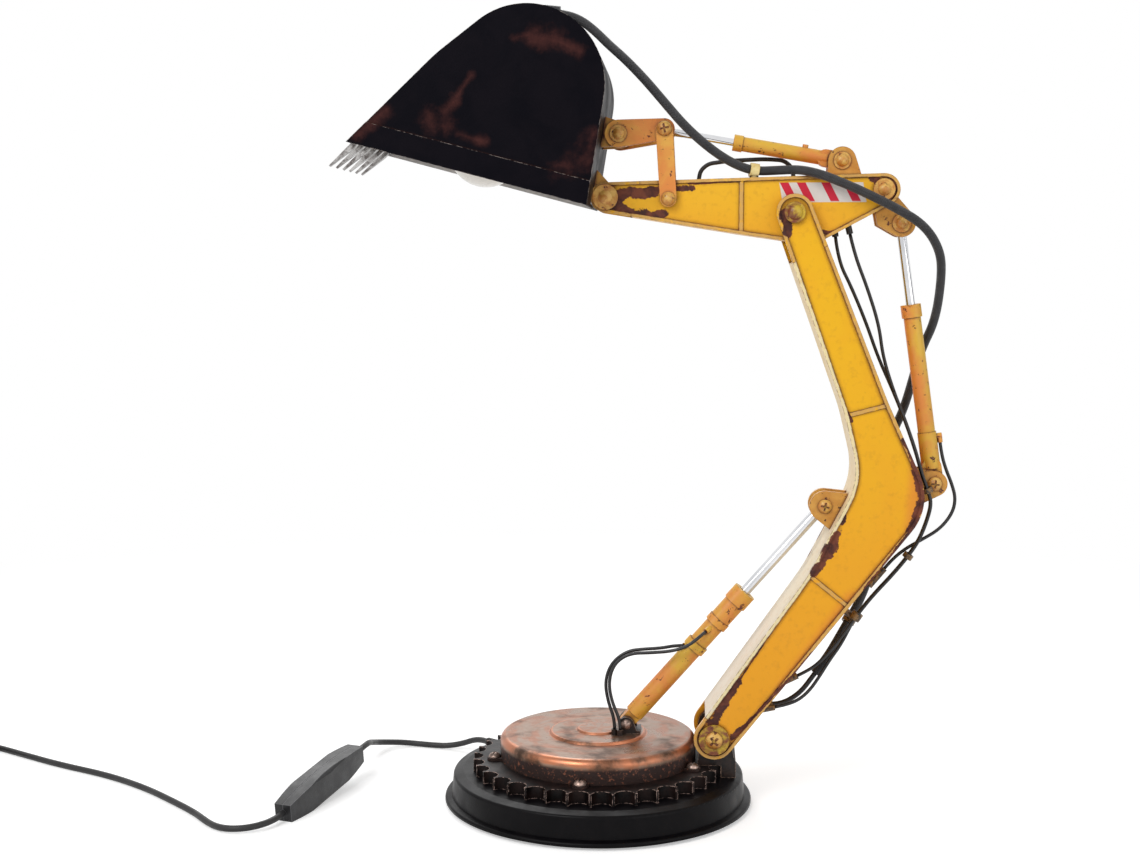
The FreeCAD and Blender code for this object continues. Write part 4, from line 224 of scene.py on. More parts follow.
floor_mesh = bpy.data.meshes.new("floor")
floor_mesh.from_pydata([(-FLOOR_HALF, -FLOOR_HALF, 0), (FLOOR_HALF, -FLOOR_HALF, 0),
                        (FLOOR_HALF, FLOOR_HALF, 0), (-FLOOR_HALF, FLOOR_HALF, 0)],
                       [], [(0, 1, 2, 3)])
floor = bpy.data.objects.new("floor", floor_mesh)
scene.collection.objects.link(floor)
floor_finish = bpy.data.materials.new("floor_sheet")
floor_finish.use_nodes = True
floor_finish.node_tree.nodes.clear()
tree = Tree(floor_finish.node_tree)
reach = tree.length(tree.node("ShaderNodeTexCoord").outputs["Object"])
lit_sheet = tree.node("ShaderNodeBsdfDiffuse", {"Color": (*[SHEET_TONE] * 3, 1.0)})
plain_sheet = tree.node("ShaderNodeBsdfDiffuse", {"Color": (*[BOUNCE_TONE] * 3, 1.0)})
white = tree.node("ShaderNodeEmission", {"Color": WHITE, "Strength": 1.0})
glow = tree.node("ShaderNodeEmission", {"Color": WHITE, "Strength": SHEET_GLOW})
near_sheet = tree.node("ShaderNodeAddShader", {0: lit_sheet.outputs[0], 1: glow.outputs[0]})
shown = tree.node("ShaderNodeMixShader", {0: tree.ramp(reach, NEAR_FLOOR, FAR_FLOOR),
                                          1: near_sheet.outputs[0], 2: white.outputs[0]})
either = tree.node("ShaderNodeMixShader",
                   {0: seen_directly(tree), 1: plain_sheet.outputs[0], 2: shown.outputs[0]})
tree.node("ShaderNodeOutputMaterial", {"Surface": either.outputs[0]})
floor_mesh.materials.append(floor_finish)
print("floor sheet", 2 * FLOOR_HALF, "metres wide")

# %% Three soft lamps
LAMPS = {
    "key": {"place": (-0.75, -1.15, 1.25), "aim": (0.0, 0.0, 0.25), "size": 0.9, "power": 15.0},
    "fill": {"place": (1.2, -0.9, 0.7), "aim": (0.05, 0.0, 0.25), "size": 1.0, "power": 4.5},
    "back": {"place": (-0.3, 1.1, 1.1), "aim": (0.0, 0.0, 0.25), "size": 0.8, "power": 7.0},
}
for lamp_name, lamp in LAMPS.items():
    light = bpy.data.lights.new(lamp_name, "AREA")
    light.size = lamp["size"]
    light.energy = lamp["power"]
    holder = bpy.data.objects.new(lamp_name, light)
    holder.location = lamp["place"]
    aim = Vector(lamp["aim"]) - Vector(lamp["place"])
    holder.rotation_euler = aim.to_track_quat("-Z", "Y").to_euler()
    scene.collection.objects.link(holder)
print("lamps", ", ".join(LAMPS))

# %% [markdown]
# ## Cords first
#
# Cables make the lamp look like a machine, and they decide how much room it needs. Each
# route is one smooth line whose control points are the corners of the solid tube's route. The line
# can be given a thickness directly, which suits a cord that rides on one body. A cable that bends
# at a hinge has to be a mesh, so its line is read back as points and a skin is wrapped round them.

# %% Smooth lines
def metres(place):
    """A place given in millimetres, in metres."""
    return Vector(place) * MM


def smooth_line(name, corners):
    """An open smooth curve through the room, from corners in millimetres."""
    curve = bpy.data.curves.new(name, "CURVE")
    curve.dimensions = "3D"
    spline = curve.splines.new("NURBS")
    spline.points.add(len(corners) - 1)
    for spot, corner in zip(spline.points, corners):
        spot.co = (*(v * MM for v in corner), 1.0)
    spline.order_u = 3
    spline.use_endpoint_u = True
    spline.resolution_u = 8
    line = bpy.data.objects.new(name, curve)
    scene.collection.objects.link(line)
    return line


def read_line(corners):
    """The points of a smooth line, in metres."""
    line = smooth_line("route", corners)
    graph = bpy.context.evaluated_depsgraph_get()
    mesh = bpy.data.meshes.new_from_object(line.evaluated_get(graph))
    points = [vertex.co.copy() for vertex in mesh.vertices]
    bpy.data.meshes.remove(mesh)
    bpy.data.objects.remove(line)
    return points


def cut_line(points, *places):
    """Cuts a line of points at places in mm, so that the pieces share their end points."""
    cuts = [0]
    for place in places:
        cuts.append(min(range(len(points)), key=lambda n: (points[n] - metres(place)).length))
    cuts.append(len(points) - 1)
    return [points[a:b + 1] for a, b in zip(cuts, cuts[1:])]


print("lines are read in metres, from corners in millimetres")

# %% Skins
TUBE_SIDES = 20


def mesh_of(name, shape):
    mesh = bpy.data.meshes.new(name)
    shape.to_mesh(mesh)
    shape.free()
    return mesh


def new_piece(name, mesh, sharp=None):
    """Puts a mesh in the scene. With an angle in degrees, only sharper edges stay sharp."""
    if sharp:
        mesh.shade_smooth()
        mesh.set_sharp_from_angle(angle=math.radians(sharp))
    piece = bpy.data.objects.new(name, mesh)
    scene.collection.objects.link(piece)
    return piece


def tube_skin(name, points, radius):
    """A closed skin round a line of points, with U round it and V along it in millimetres."""
    shape = bmesh.new()
    layer = shape.loops.layers.uv.new("sleeve")
    last = len(points) - 1
    side = None
    travelled = 0.0
    rings = []
    for n, here in enumerate(points):
        ahead = (points[min(n + 1, last)] - points[max(n - 1, 0)]).normalized()
        if side is None:
            side = ahead.cross(Vector((0.3, 1.0, 0.2))).normalized()
        side = (side - ahead * side.dot(ahead)).normalized()
        across = ahead.cross(side)
        if n:
            travelled += (here - points[n - 1]).length
        ring = []
        for k in range(TUBE_SIDES):
            turn = 2 * math.pi * k / TUBE_SIDES
            out = side * math.cos(turn) + across * math.sin(turn)
            ring.append(shape.verts.new(here + out * radius))
        rings.append((ring, travelled / MM))
    for (low, low_v), (high, high_v) in zip(rings, rings[1:]):
        for k in range(TUBE_SIDES):
            n = (k + 1) % TUBE_SIDES
            face = shape.faces.new((low[k], low[n], high[n], high[k]))
            face.smooth = True
            corners = ((k, low_v), (k + 1, low_v), (k + 1, high_v), (k, high_v))
            for loop, (u, v) in zip(face.loops, corners):
                loop[layer].uv = (u / TUBE_SIDES, v)
    shape.faces.new(list(reversed(rings[0][0])))
    shape.faces.new(rings[-1][0])
    return new_piece(name, mesh_of(name, shape))


print("a skin has", TUBE_SIDES, "sides")

# %% [markdown]
# ## Mains cord
#
# A table lamp has about 1.8 m of cord. It leaves the wall of the base through a tapered sleeve,
# rises into the switch, which stands on its own curved edge, and wanders off to the left. The rest
# is put away in a round coil beside its plug. It is one line from the sleeve to the plug, because
# a cord has no joints, and the coil's corners follow the same spiral rule as the solid coil.

# %% Route of the mains cord
CORD_DIAMETER = 3.8
CORD_TO_SWITCH = [
    (-74.25, 74.25, 10.4), (-80.6, 80.6, 10.4), (-87.6, 87.0, 8.6), (-95.6, 90.6, 4.8),
    (-106.5, 92.6, 2.2), (-119, 95.0, 1.95), (-128.8, 97.0, 2.1), (-137.2, 95.8, 3.0),
    (-144.6, 91.4, 4.3), (-149.9, 84.8, 6.1), (-152.6, 75.3, 8.8), (-152.4, 62.4, 12.6),
    (-151.0, 49.4, 16.3),
]
CORD_FROM_SWITCH = [
    (-187.2, -71.9, 3.8), (-195.2, -78.0, 3.2), (-205.6, -79.3, 2.6), (-215.2, -74.9, 2.1),
    (-223.6, -66.2, 1.95), (-235.0, -51.5, 1.95), (-252, -34.5, 1.95), (-279, -9, 1.95),
    (-312, 14.5, 1.95), (-350, 33, 1.95), (-383, 53.0, 1.95),
]
CORD_TO_PLUG = [
    (-450.6, 80.6, 14.4), (-462.6, 76.6, 13.0), (-470.9, 67.4, 11.0), (-474.8, 55.6, 8.9),
    (-475.5, 43.5, 6.9), (-475.5, 33.0, 6.9),
]
SWITCH_MIDDLE = Vector((-167.4, -17.0, 11.281))
SWITCH_AXIS = Vector((0.3069, 0.9415, 0.1392))
SWITCH_HALF = 43.0
COIL_MIDDLE = (-440.0, 52.0)
COIL_START = 70.0
COIL_LAYERS = 4
COIL_TURNS = 2.25
COIL_INNER = 16.1
COIL_OUTER = 25.8
COIL_STEP = 4.3
COIL_LOWEST = 1.95
CORNERS_PER_TURN = 12
CORNER_REACH = 1 / 0.966  # a corner of the route lies this much outside the turn that it makes
CLIMB_SHARE = 0.5  # share of a turn over which the cord climbs to the next layer


def coil_corner(turns):
    """A corner outside the spiral, which goes in and out again and climbs where it reverses."""
    layer = min(int(turns / COIL_TURNS), COIL_LAYERS - 1)
    share = turns / COIL_TURNS - layer
    if layer % 2:
        share = 1 - share
    radius = (COIL_OUTER + (COIL_INNER - COIL_OUTER) * share) * CORNER_REACH
    height = COIL_LOWEST
    for n in range(1, COIL_LAYERS):
        past = turns - n * COIL_TURNS + CLIMB_SHARE / 2
        climb = min(max(past, 0.0), CLIMB_SHARE) / CLIMB_SHARE
        height += COIL_STEP * (1 - math.cos(math.pi * climb)) / 2
    angle = math.radians(COIL_START + 360 * turns)
    return (COIL_MIDDLE[0] + radius * math.cos(angle), COIL_MIDDLE[1] + radius * math.sin(angle),
            height)


high_end = SWITCH_MIDDLE + SWITCH_AXIS * SWITCH_HALF
low_end = SWITCH_MIDDLE - SWITCH_AXIS * SWITCH_HALF
through_switch = [high_end + SWITCH_AXIS * 13, high_end, SWITCH_MIDDLE, low_end,
                  low_end - SWITCH_AXIS * 7]
into_coil = [(-406.0, 67.1, 1.95), (-418.0, 71.8, 1.95)]
coil_corners = [coil_corner(n / CORNERS_PER_TURN)
                for n in range(1, int(COIL_LAYERS * COIL_TURNS * CORNERS_PER_TURN))]
out_of_coil = [(-441.5, 80.0, 14.8)]
mains_route = (CORD_TO_SWITCH + [tuple(p) for p in through_switch] + CORD_FROM_SWITCH
               + into_coil + coil_corners + out_of_coil + CORD_TO_PLUG)
print("mains cord has", len(mains_route), "corners,", len(coil_corners), "of them in the coil")

# %% The cord itself
# Blender adds the radius of a curve's points to its box. So the points carry the cord's radius in
# metres, and the depth of the bevel is 1.
mains_cord = smooth_line("mains_cord", mains_route)
mains_cord.data.bevel_depth = 1.0
mains_cord.data.bevel_resolution = 5
mains_cord.data.use_fill_caps = True
for spot in mains_cord.data.splines[0].points:
    spot.radius = CORD_DIAMETER / 2 * MM
print("mains cord", CORD_DIAMETER, "mm thick")

# %% [markdown]
# ## Lamp cable, hoses and leads
#
# A thick sleeved cable runs from the elbow on the bucket to the stick, swings round the elbow of
# the arm behind the boom, and comes back to its foot, where a thin lead goes on into the base.
# Two thin hoses hang behind the boom, two feed the boom's cylinder and one the stick's. Each is
# read as one line and cut where it is clipped, so that the ends of the pieces still meet.

# %% Routes of the cables on the arm
HOSE_SPACING = 1.1
LAMP_CABLE = [
    (-29.8, 10, 471.3), (-20.6, 10, 470.33), (-11.2, 9.0, 466.8), (-2.4, 5.4, 459.6),
    (5.6, -0.6, 451.2), (15.2, -8.6, 442.2), (27.0, -17.4, 429.5), (38.5, -22.6, 415.8),
    (50.0, -23.6, 402.4),
    (63.6, -21.4, 390.4), (77.0, -15.8, 381.8), (90.1, -11.0, 377.2), (103.5, -11.4, 377.7),
    (116.0, -15.8, 378.0), (127.8, -20.4, 375.0), (139.1, -21.8, 370.4), (149.8, -22, 365.8),
    (169.7, -21, 356.2), (187.3, -17, 346.1), (197.1, -11, 332.0), (199.6, -3, 317.7),
    (198.0, 7, 291.3), (190.6, 13, 273.3), (186.2, 18, 253.1), (182.2, 22, 236.7), (176, 24.6, 222),
    (171.3, 25.0, 206), (168.4, 24.4, 190), (165.0, 24.2, 172), (161.6, 24.3, 157),
    (163.8, 24.6, 146.0), (163.0, 20.6, 133.4), (157.6, 14.2, 121.8), (151.0, 8.6, 111.4),
    (145.0, 4.2, 102.1), (139.8, 1.4, 93.6), (134.9, 0, 86.6), (130.3, 0, 80.0),
]
LEAD_ROUTE = [
    (130.3, 0, 80), (126.9, 0, 75.1), (122.9, 0, 69.6), (118.0, 0, 65.2), (112.6, 0, 62.0),
    (107.0, 0, 60.5), (101.5, 0, 60.5), (93.3, 0, 60.5), (85.8, 0, 56.6), (80.6, 0, 49.4),
    (79, 0, 40.0), (79, 0, 30.6), (79, 0, 22.2), (78.4, 0, 13.6), (74.4, 0, 7.2), (67.2, 1.0, 4.6),
    (54, 4.6, 4.45), (30, 12.5, 4.5), (6, 19.6, 4.6), (-11, 25.4, 4.7), (-22.5, 29.0, 5.8),
    (-30.4, 33.0, 8.0), (-36.77, 36.77, 9.2),
]
BUCKET_LEAD = [(-33.65, 10, 462.98), (-34.0, 9.4, 458.2), (-32.0, 8.0, 453.9), (-29.2, 6.4, 450.5)]
HOSE_PAIR = [
    (172.8, -3, 250.6), (179.5, -8, 233.4), (185.6, -12.5, 215.2), (189.1, -14, 202),
    (192.6, -14, 193.2), (195.2, -12, 185.4), (193.3, -9, 174.9), (189.3, -6, 162.4),
    (183.4, -4, 152.5), (174.8, -4, 141.6), (162.7, -5, 128.4), (153.4, -6, 116.4),
]
HOSE_ONE_TOP = [
    (138.4, 1.2, 339.8), (140.2, 1.2, 326.0), (148.4, 1.2, 310), (157.5, 1.2, 288.5),
    (164.2, 1.2, 269.7),
]
HOSE_ONE_END = [
    (149.6, -4, 108.1), (144.8, -4, 98.3), (138.4, -4.2, 89.0), (132.9, -4.4, 79.6),
    (127.3, -4.6, 71.0), (121.0, -5.6, 65.2), (113.4, -7.2, 62.2), (106.0, -8.0, 60.8),
]
HOSE_TWO_TOP = [
    (146.2, -5, 341.3), (149.2, -5, 329.0), (156.6, -4.5, 310.7), (164, -3.5, 288.6),
    (166.6, -2.3, 270.5),
]
HOSE_TWO_END = [
    (147, -7, 106.9), (140.7, -7, 98.0), (133.8, -7, 89.9), (126.8, -7, 83.7), (119.4, -7, 80.0),
]
KNEE_HOSE = [
    (201.12, 0, 219.76), (202.2, 0, 212.4), (204.8, 0, 203.9), (208.4, -0.3, 195.3),
    (210.8, -1, 186.6), (209.0, -1.5, 177.8), (201.9, -1.7, 168.4), (190.9, -1.6, 161.6),
    (182.2, -1.8, 156.6), (174.8, -2.4, 150.6), (169.8, -3, 144.7),
]
CYLINDER_HOSE_LOW = [
    (64.69, -6.88, 105.66), (61.5, -9.9, 103.5), (54.5, -12, 98), (45, -11.5, 94.5),
    (32, -11, 93.2),
    (19, -10.5, 92.5), (10, -10, 85.8), (6.8, -10, 74.5), (8.9, -10, 62.5), (14, -12, 52),
    (14, -12, 46),
]
CYLINDER_HOSE_HIGH = [
    (51.54, -4.29, 96.43), (46.5, -7.3, 97), (38, -8.3, 95.5), (28, -8.3, 94.8), (18, -8.2, 93.5),
    (8.5, -7.8, 86), (4.5, -7.8, 74.5), (6.5, -7.8, 62), (10.5, -9.7, 52), (10.5, -9.7, 46),
]
INNER_CORD = [(-50.2, 50.2, 10.4), (-58.0, 58.0, 10.4), (-66.0, 66.0, 10.4), (-74.25, 74.25, 10.4)]
print("lamp cable", len(LAMP_CABLE), "corners and lead", len(LEAD_ROUTE))

# %% [markdown]
# ## What each cable is tied to
#
# A cable that crosses a hinge belongs to two bodies. It could be cut at the hinge, but then it
# would open when the arm moves. Here such a piece stays fixed where it lies, and a piece on one
# body rides with it.

# %% Pieces of the cables
STICK_CLIP = LAMP_CABLE[11]
ELBOW_END = LAMP_CABLE[23]
LEAD_LEAVES_BOOM = (101.5, 0, 60.5)
LEAD_ENTERS_BASE = (79, 0, 30.6)


def hose_beside(top, end, y):
    """One of the two hoses, which run a little to each side of their common route."""
    shared = [(a, b + y, c) for a, b, c in HOSE_PAIR]
    return cut_line(read_line(top + shared + end), HOSE_PAIR[0])


cable = cut_line(read_line(LAMP_CABLE), STICK_CLIP, ELBOW_END)
hose_one = hose_beside(HOSE_ONE_TOP, HOSE_ONE_END, HOSE_SPACING)
hose_two = hose_beside(HOSE_TWO_TOP, HOSE_TWO_END, -HOSE_SPACING)
lead = cut_line(read_line(LEAD_ROUTE), LEAD_LEAVES_BOOM, LEAD_ENTERS_BASE)
print("lamp cable", len(cable), "pieces, hoses", len(hose_one + hose_two), "and lead", len(lead))

# %% Skin each piece, let it ride on its body or stay fixed, and hide its solid
# Kinds: radius in mm and stiffness.
KINDS = {"sleeved": (2.6, "stiff"), "lead": (1.5, "medium"), "hose": (1.0, "medium"),
         "cord": (CORD_DIAMETER / 2, "medium")}
# Each row: name, kind, points, length in mm, the node it stands for, its body or bodies, and
# between which two places in mm it goes from the first body to the second.
CABLES = [
    ("lamp_cable_on_bucket", "sleeved", cable[0], 164, "lamp_cable_bucket",
     "bucket", "stick", (-20, 10, 470), (84, -13, 379)),
    ("lamp_cable_round_elbow", "sleeved", cable[1], 212, "elbow_cables",
     "stick", "boom", (110, -14, 378), (187, 17, 256)),
    ("lamp_cable_behind_boom", "sleeved", cable[2], 182, "lamp_cable_boom", "boom"),
    ("hose_one_top", "hose", hose_one[0], 103, "elbow_cables",
     "stick", "boom", (139, 1.2, 332), (170, -2, 256)),
    ("hose_two_top", "hose", hose_two[0], 104, "elbow_cables",
     "stick", "boom", (148, -5, 334), (170, -3, 256)),
    ("hose_one_low", "hose", hose_one[1], 221, "boom_lines", "boom"),
    ("hose_two_low", "hose", hose_two[1], 194, "boom_lines", "boom"),
    ("lead_behind_boom", "lead", lead[0], 37, "boom_lines", "boom"),
    ("lead_over_hinge", "lead", lead[1], 43, "boom_lead_bend",
     "boom", "base", (100, 0, 60.5), (79, 0, 36)),
    ("lead_in_base", "lead", lead[2], 141, "base_wiring", "base"),
    ("knee_hose_loop", "hose", read_line(KNEE_HOSE), 95, "knee_hose",
     "stick_cylinder", "boom", (201, 0, 216), (186, -1.7, 158)),
    ("cylinder_hose_low", "hose", read_line(CYLINDER_HOSE_LOW), 102, "boom_cylinder_hoses",
     "boom_cylinder", "base", (60, -10, 102), (12, -11, 54)),
    ("cylinder_hose_high", "hose", read_line(CYLINDER_HOSE_HIGH), 88, "boom_cylinder_hoses",
     "boom_cylinder", "base", (47, -7, 97), (9, -9, 54)),
    ("cord_in_base", "cord", read_line(INNER_CORD), 34, "base_wiring", "base"),
    ("lead_in_bucket", "lead", read_line(BUCKET_LEAD), None, "bucket_lead", "bucket"),
]
on_arm = {}
for name, kind, points, length, node, body, *bend in CABLES:
    radius, stiffness = KINDS[kind]
    piece = on_arm[name] = tube_skin(name, points, radius * MM)
    if bend:
        other, start, end = bend
        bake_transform(piece)
    else:
        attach(piece, body)
    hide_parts(node)
    measured = sum((b - a).length for a, b in zip(points, points[1:]))
    print(name, "measures", round(measured / MM), "mm")

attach(mains_cord, "base")
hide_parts("mains_cord_base", "mains_cord_lead", "mains_cord_coil", "mains_cord_tail")
print("cords declared", sum(1 for row in CABLES if row[3]) + 1)

# %% [markdown]
# ## Effects that several finishes share
#
# Worn paint, painted shade in corners, cast grain and a braided sleeve each appear on more than
# one part.
# They could be copied from tree to tree. As node groups with named inputs they are built once, and
# each material sets its own scale and amount. The shaders stay in the materials themselves.

# %% Strokes and chips of worn paint
FLOAT, VECTOR, COLOUR = "NodeSocketFloat", "NodeSocketVector", "NodeSocketColor"


def start_group(name, inputs, outputs):
    group = bpy.data.node_groups.new(name, "ShaderNodeTree")
    for label, kind, value in inputs:
        socket = group.interface.new_socket(name=label, in_out="INPUT", socket_type=kind)
        if value is not None:
            socket.default_value = value
    for label, kind in outputs:
        group.interface.new_socket(name=label, in_out="OUTPUT", socket_type=kind)
    given = group.nodes.new("NodeGroupInput").outputs
    return Tree(group), given, group.nodes.new("NodeGroupOutput").inputs


# worn stroke: 1 on a line between two places in the side plane, 0 at its width
tree, given, result = start_group(
    "worn stroke", [("Vector", VECTOR, None), ("Start", VECTOR, (0, 0, 0)),
                    ("End", VECTOR, (0, 0, 1)), ("Width", FLOAT, 0.001)], [("Inside", FLOAT)])
stroke_group = tree.tree
away = tree.vector("SUBTRACT", given["Vector"], given["Start"])
run = tree.vector("SUBTRACT", given["End"], given["Start"])
share = tree.math("DIVIDE", tree.dot(away, run), tree.dot(run, run), clamp=True)
foot = tree.node("ShaderNodeVectorMath", {0: run, "Scale": share}, operation="SCALE").outputs[0]
off = tree.length(tree.vector("SUBTRACT", away, foot))
tree.put(tree.sub(1.0, tree.div(off, given["Width"])), result["Inside"])

# chipped paint: turns a soft mask and the corners into ragged bare places
tree, given, result = start_group(
    "chipped paint", [("Vector", VECTOR, None), ("Patch", FLOAT, 0.0), ("Corner", FLOAT, 0.0),
                      ("Scale", FLOAT, 160.0), ("Specks", FLOAT, 0.1)],
    [("Bare", FLOAT), ("Edge", FLOAT), ("Height", FLOAT)])
chip_group = tree.tree
ragged = tree.noise(given["Vector"], given["Scale"], detail=7.0, rough=0.68)
wander = tree.spread(ragged, 2.7)
fine = tree.noise(given["Vector"], tree.mul(given["Scale"], 2.6), detail=3.0, rough=0.6)
speck = tree.mul(tree.ramp(fine, 0.66, 0.74), given["Specks"])
corner_wear = tree.add(tree.mul(given["Corner"], 1.5), tree.mul(wander, 0.7))
wear = tree.most(tree.add(given["Patch"], wander), tree.sub(corner_wear, 0.55))
bare = tree.most(tree.ramp(wear, 0.30, 0.36), speck)
edge = tree.math("SUBTRACT", tree.ramp(wear, 0.22, 0.30), bare, clamp=True)
tree.put(bare, result["Bare"])
tree.put(edge, result["Edge"])
tree.put(tree.sub(1.0, bare), result["Height"])
print("groups", stroke_group.name, "and", chip_group.name)

# %% Grain, two tones and a braid
# fine grain: a small uneven height and a smudge for roughness
tree, given, result = start_group("fine grain", [("Vector", VECTOR, None), ("Scale", FLOAT, 900.0)],
                                  [("Height", FLOAT), ("Smudge", FLOAT)])
grain_group = tree.tree
tree.put(tree.noise(given["Vector"], given["Scale"], detail=3.0), result["Height"])
smudge_scale = tree.mul(given["Scale"], 0.06)
tree.put(tree.noise(given["Vector"], smudge_scale, detail=5.0), result["Smudge"])

# two tones: a slow drift between two colours of one paint
tree, given, result = start_group(
    "two tones", [("Vector", VECTOR, None), ("Scale", FLOAT, 22.0), ("Bias", FLOAT, 0.0),
                  ("First", COLOUR, (1, 1, 1, 1)), ("Second", COLOUR, (0, 0, 0, 1))],
    [("Color", COLOUR)])
drift_group = tree.tree
slow = tree.noise(given["Vector"], given["Scale"], detail=5.0, rough=0.6, warp=0.4)
share = tree.ramp(tree.add(slow, given["Bias"]), 0.35, 0.65)
tree.put(tree.mix(share, given["First"], given["Second"]), result["Color"])

# braided sleeve: crossed strands from the U and V of a cable skin
tree, given, result = start_group(
    "braided sleeve", [("Vector", VECTOR, None), ("Strands", FLOAT, 12.0), ("Pitch", FLOAT, 0.55)],
    [("Height", FLOAT)])
sleeve_group = tree.tree
parts = tree.axes(given["Vector"])
round_part = tree.mul(parts["X"], given["Strands"])
long_part = tree.mul(parts["Y"], given["Pitch"])
waves = [tree.math("SINE", tree.mul(tree.math(way, round_part, long_part), 2 * math.pi))
         for way in ("ADD", "SUBTRACT")]
tree.put(tree.most(*waves), result["Height"])
print("groups", ", ".join(group.name for group in (grain_group, drift_group, sleeve_group)))

# %% [markdown]
# ## Paint and metal
#
# The arm is painted yellow over dark red-brown primer, and the paint is worn off along the edges,
# round the pins and in the crook. The wear could be drawn on an image, but then it would need
# unwrapping. Instead every worn place is a stroke in the side plane with a ragged edge from
# noise, and corners are found with ambient occlusion, so one rule covers both sides of the arm.
# The same occlusion paints shade into the corners, and the lips of the rims get a painted
# highlight.

# %% Start of a finish
AO_SAMPLES = 6
IN_CORNER = (0.80, 0.35)  # openness at which a corner begins, and at which it is full
AT_EDGE = (0.86, 0.56)  # the same for an outer edge, measured on the inside
MIDDLING = (0.3, 0.7)  # the span in which most of a noise lies


class Finish(Tree):
    """A material with an empty tree, its main shader and the coordinates of the object."""

    def __init__(self, name, **constants):
        self.material = bpy.data.materials.new(name)
        self.material.use_nodes = True
        super().__init__(self.material.node_tree)
        self.tree.nodes.clear()
        self.shader = self.node("ShaderNodeBsdfPrincipled")
        self.node("ShaderNodeOutputMaterial", {"Surface": self.shader.outputs[0]})
        for label, value in constants.items():
            self.shader.inputs[label.replace("_", " ")].default_value = value
        self.spots = self.node("ShaderNodeTexCoord").outputs
        self.where = self.spots["Object"]

    def feed(self, **values):
        """Links the patterns to the main shader and gives the finished material."""
        for label, value in values.items():
            self.tree.links.new(value, self.shader.inputs[label.replace("_", " ")])
        return self.material

    def cloud(self, scale, **settings):
        return self.noise(self.where, scale, **settings)

    def drift(self, scale, first, second, **settings):
        return self.group(drift_group, Vector=self.where, Scale=scale, First=first, Second=second,
                          **settings)["Color"]

    def grain(self, scale):
        return self.group(grain_group, Vector=self.where, Scale=scale)

    def bump(self, height, distance, strength=1.0, under=None):
        inputs = {"Height": height, "Distance": distance * MM, "Strength": strength}
        if under is not None:
            inputs["Normal"] = under
        return self.node("ShaderNodeBump", inputs).outputs["Normal"]

    def openness(self, distance, inside=False):
        """1 in the open and less in a corner, or at an edge when looking inside."""
        return self.node("ShaderNodeAmbientOcclusion", {"Distance": distance * MM},
                         samples=AO_SAMPLES, inside=inside).outputs["AO"]

    def corners(self, distance):
        """1 in a corner between two faces and 0 in the open; finishes use it for painted shade."""
        return self.ramp(self.openness(distance), *IN_CORNER)

    def edges(self, distance):
        """1 along an outer edge and 0 on a flat face."""
        return self.ramp(self.openness(distance, inside=True), *AT_EDGE)

    def rubbed(self, distance, pattern, low, high):
        """Outer edges, broken up by a noise."""
        return self.mul(self.edges(distance), self.ramp(pattern, low, high))

    def worn(self, strokes):
        """The union of worn strokes. Each is its half width and its places in X and Z, in mm."""
        flat = self.vector("MULTIPLY", self.where, (1.0, 0.0, 1.0))
        mask = None
        for width, places in strokes:
            for start, end in zip(places, places[1:]):
                inside = self.group(stroke_group, Vector=flat, Width=width * MM,
                                    Start=(start[0] * MM, 0.0, start[1] * MM),
                                    End=(end[0] * MM, 0.0, end[1] * MM))["Inside"]
                mask = inside if mask is None else self.most(mask, inside)
        return mask

    def spared(self, patch, side, inner, outer):
        """Takes strength from a worn patch between two distances in mm from the middle."""
        return self.sub(patch, self.ramp(side, inner * MM, outer * MM, 1.6, 0.0))


print("a finish starts from an empty tree")

# %% Paint with primer under it
BARE_DARK = tone(62, 28, 24)
BARE_LIGHT = tone(118, 62, 42)
# Tone of the painted highlight on the lips of the rims
CREAM_HIGHLIGHT = tone(240, 222, 172)


def laid_bare(finish, colour, bare, step, primer_scale, grain_scale, matt, dullest, bumps):
    """Primer where the paint is off, and a step at its ragged edge. Closes a painted finish."""
    colour = finish.mix(bare, colour, finish.drift(primer_scale, BARE_DARK, BARE_LIGHT))
    grain = finish.grain(grain_scale)
    rough = finish.ramp(grain["Smudge"], *MIDDLING, 0.34, dullest)
    rough = finish.add(finish.mul(bare, matt), rough)
    soft = finish.bump(grain["Height"], 0.05, 0.5)
    return finish.feed(Base_Color=colour, Roughness=rough, Normal=finish.bump(step, *bumps, soft))


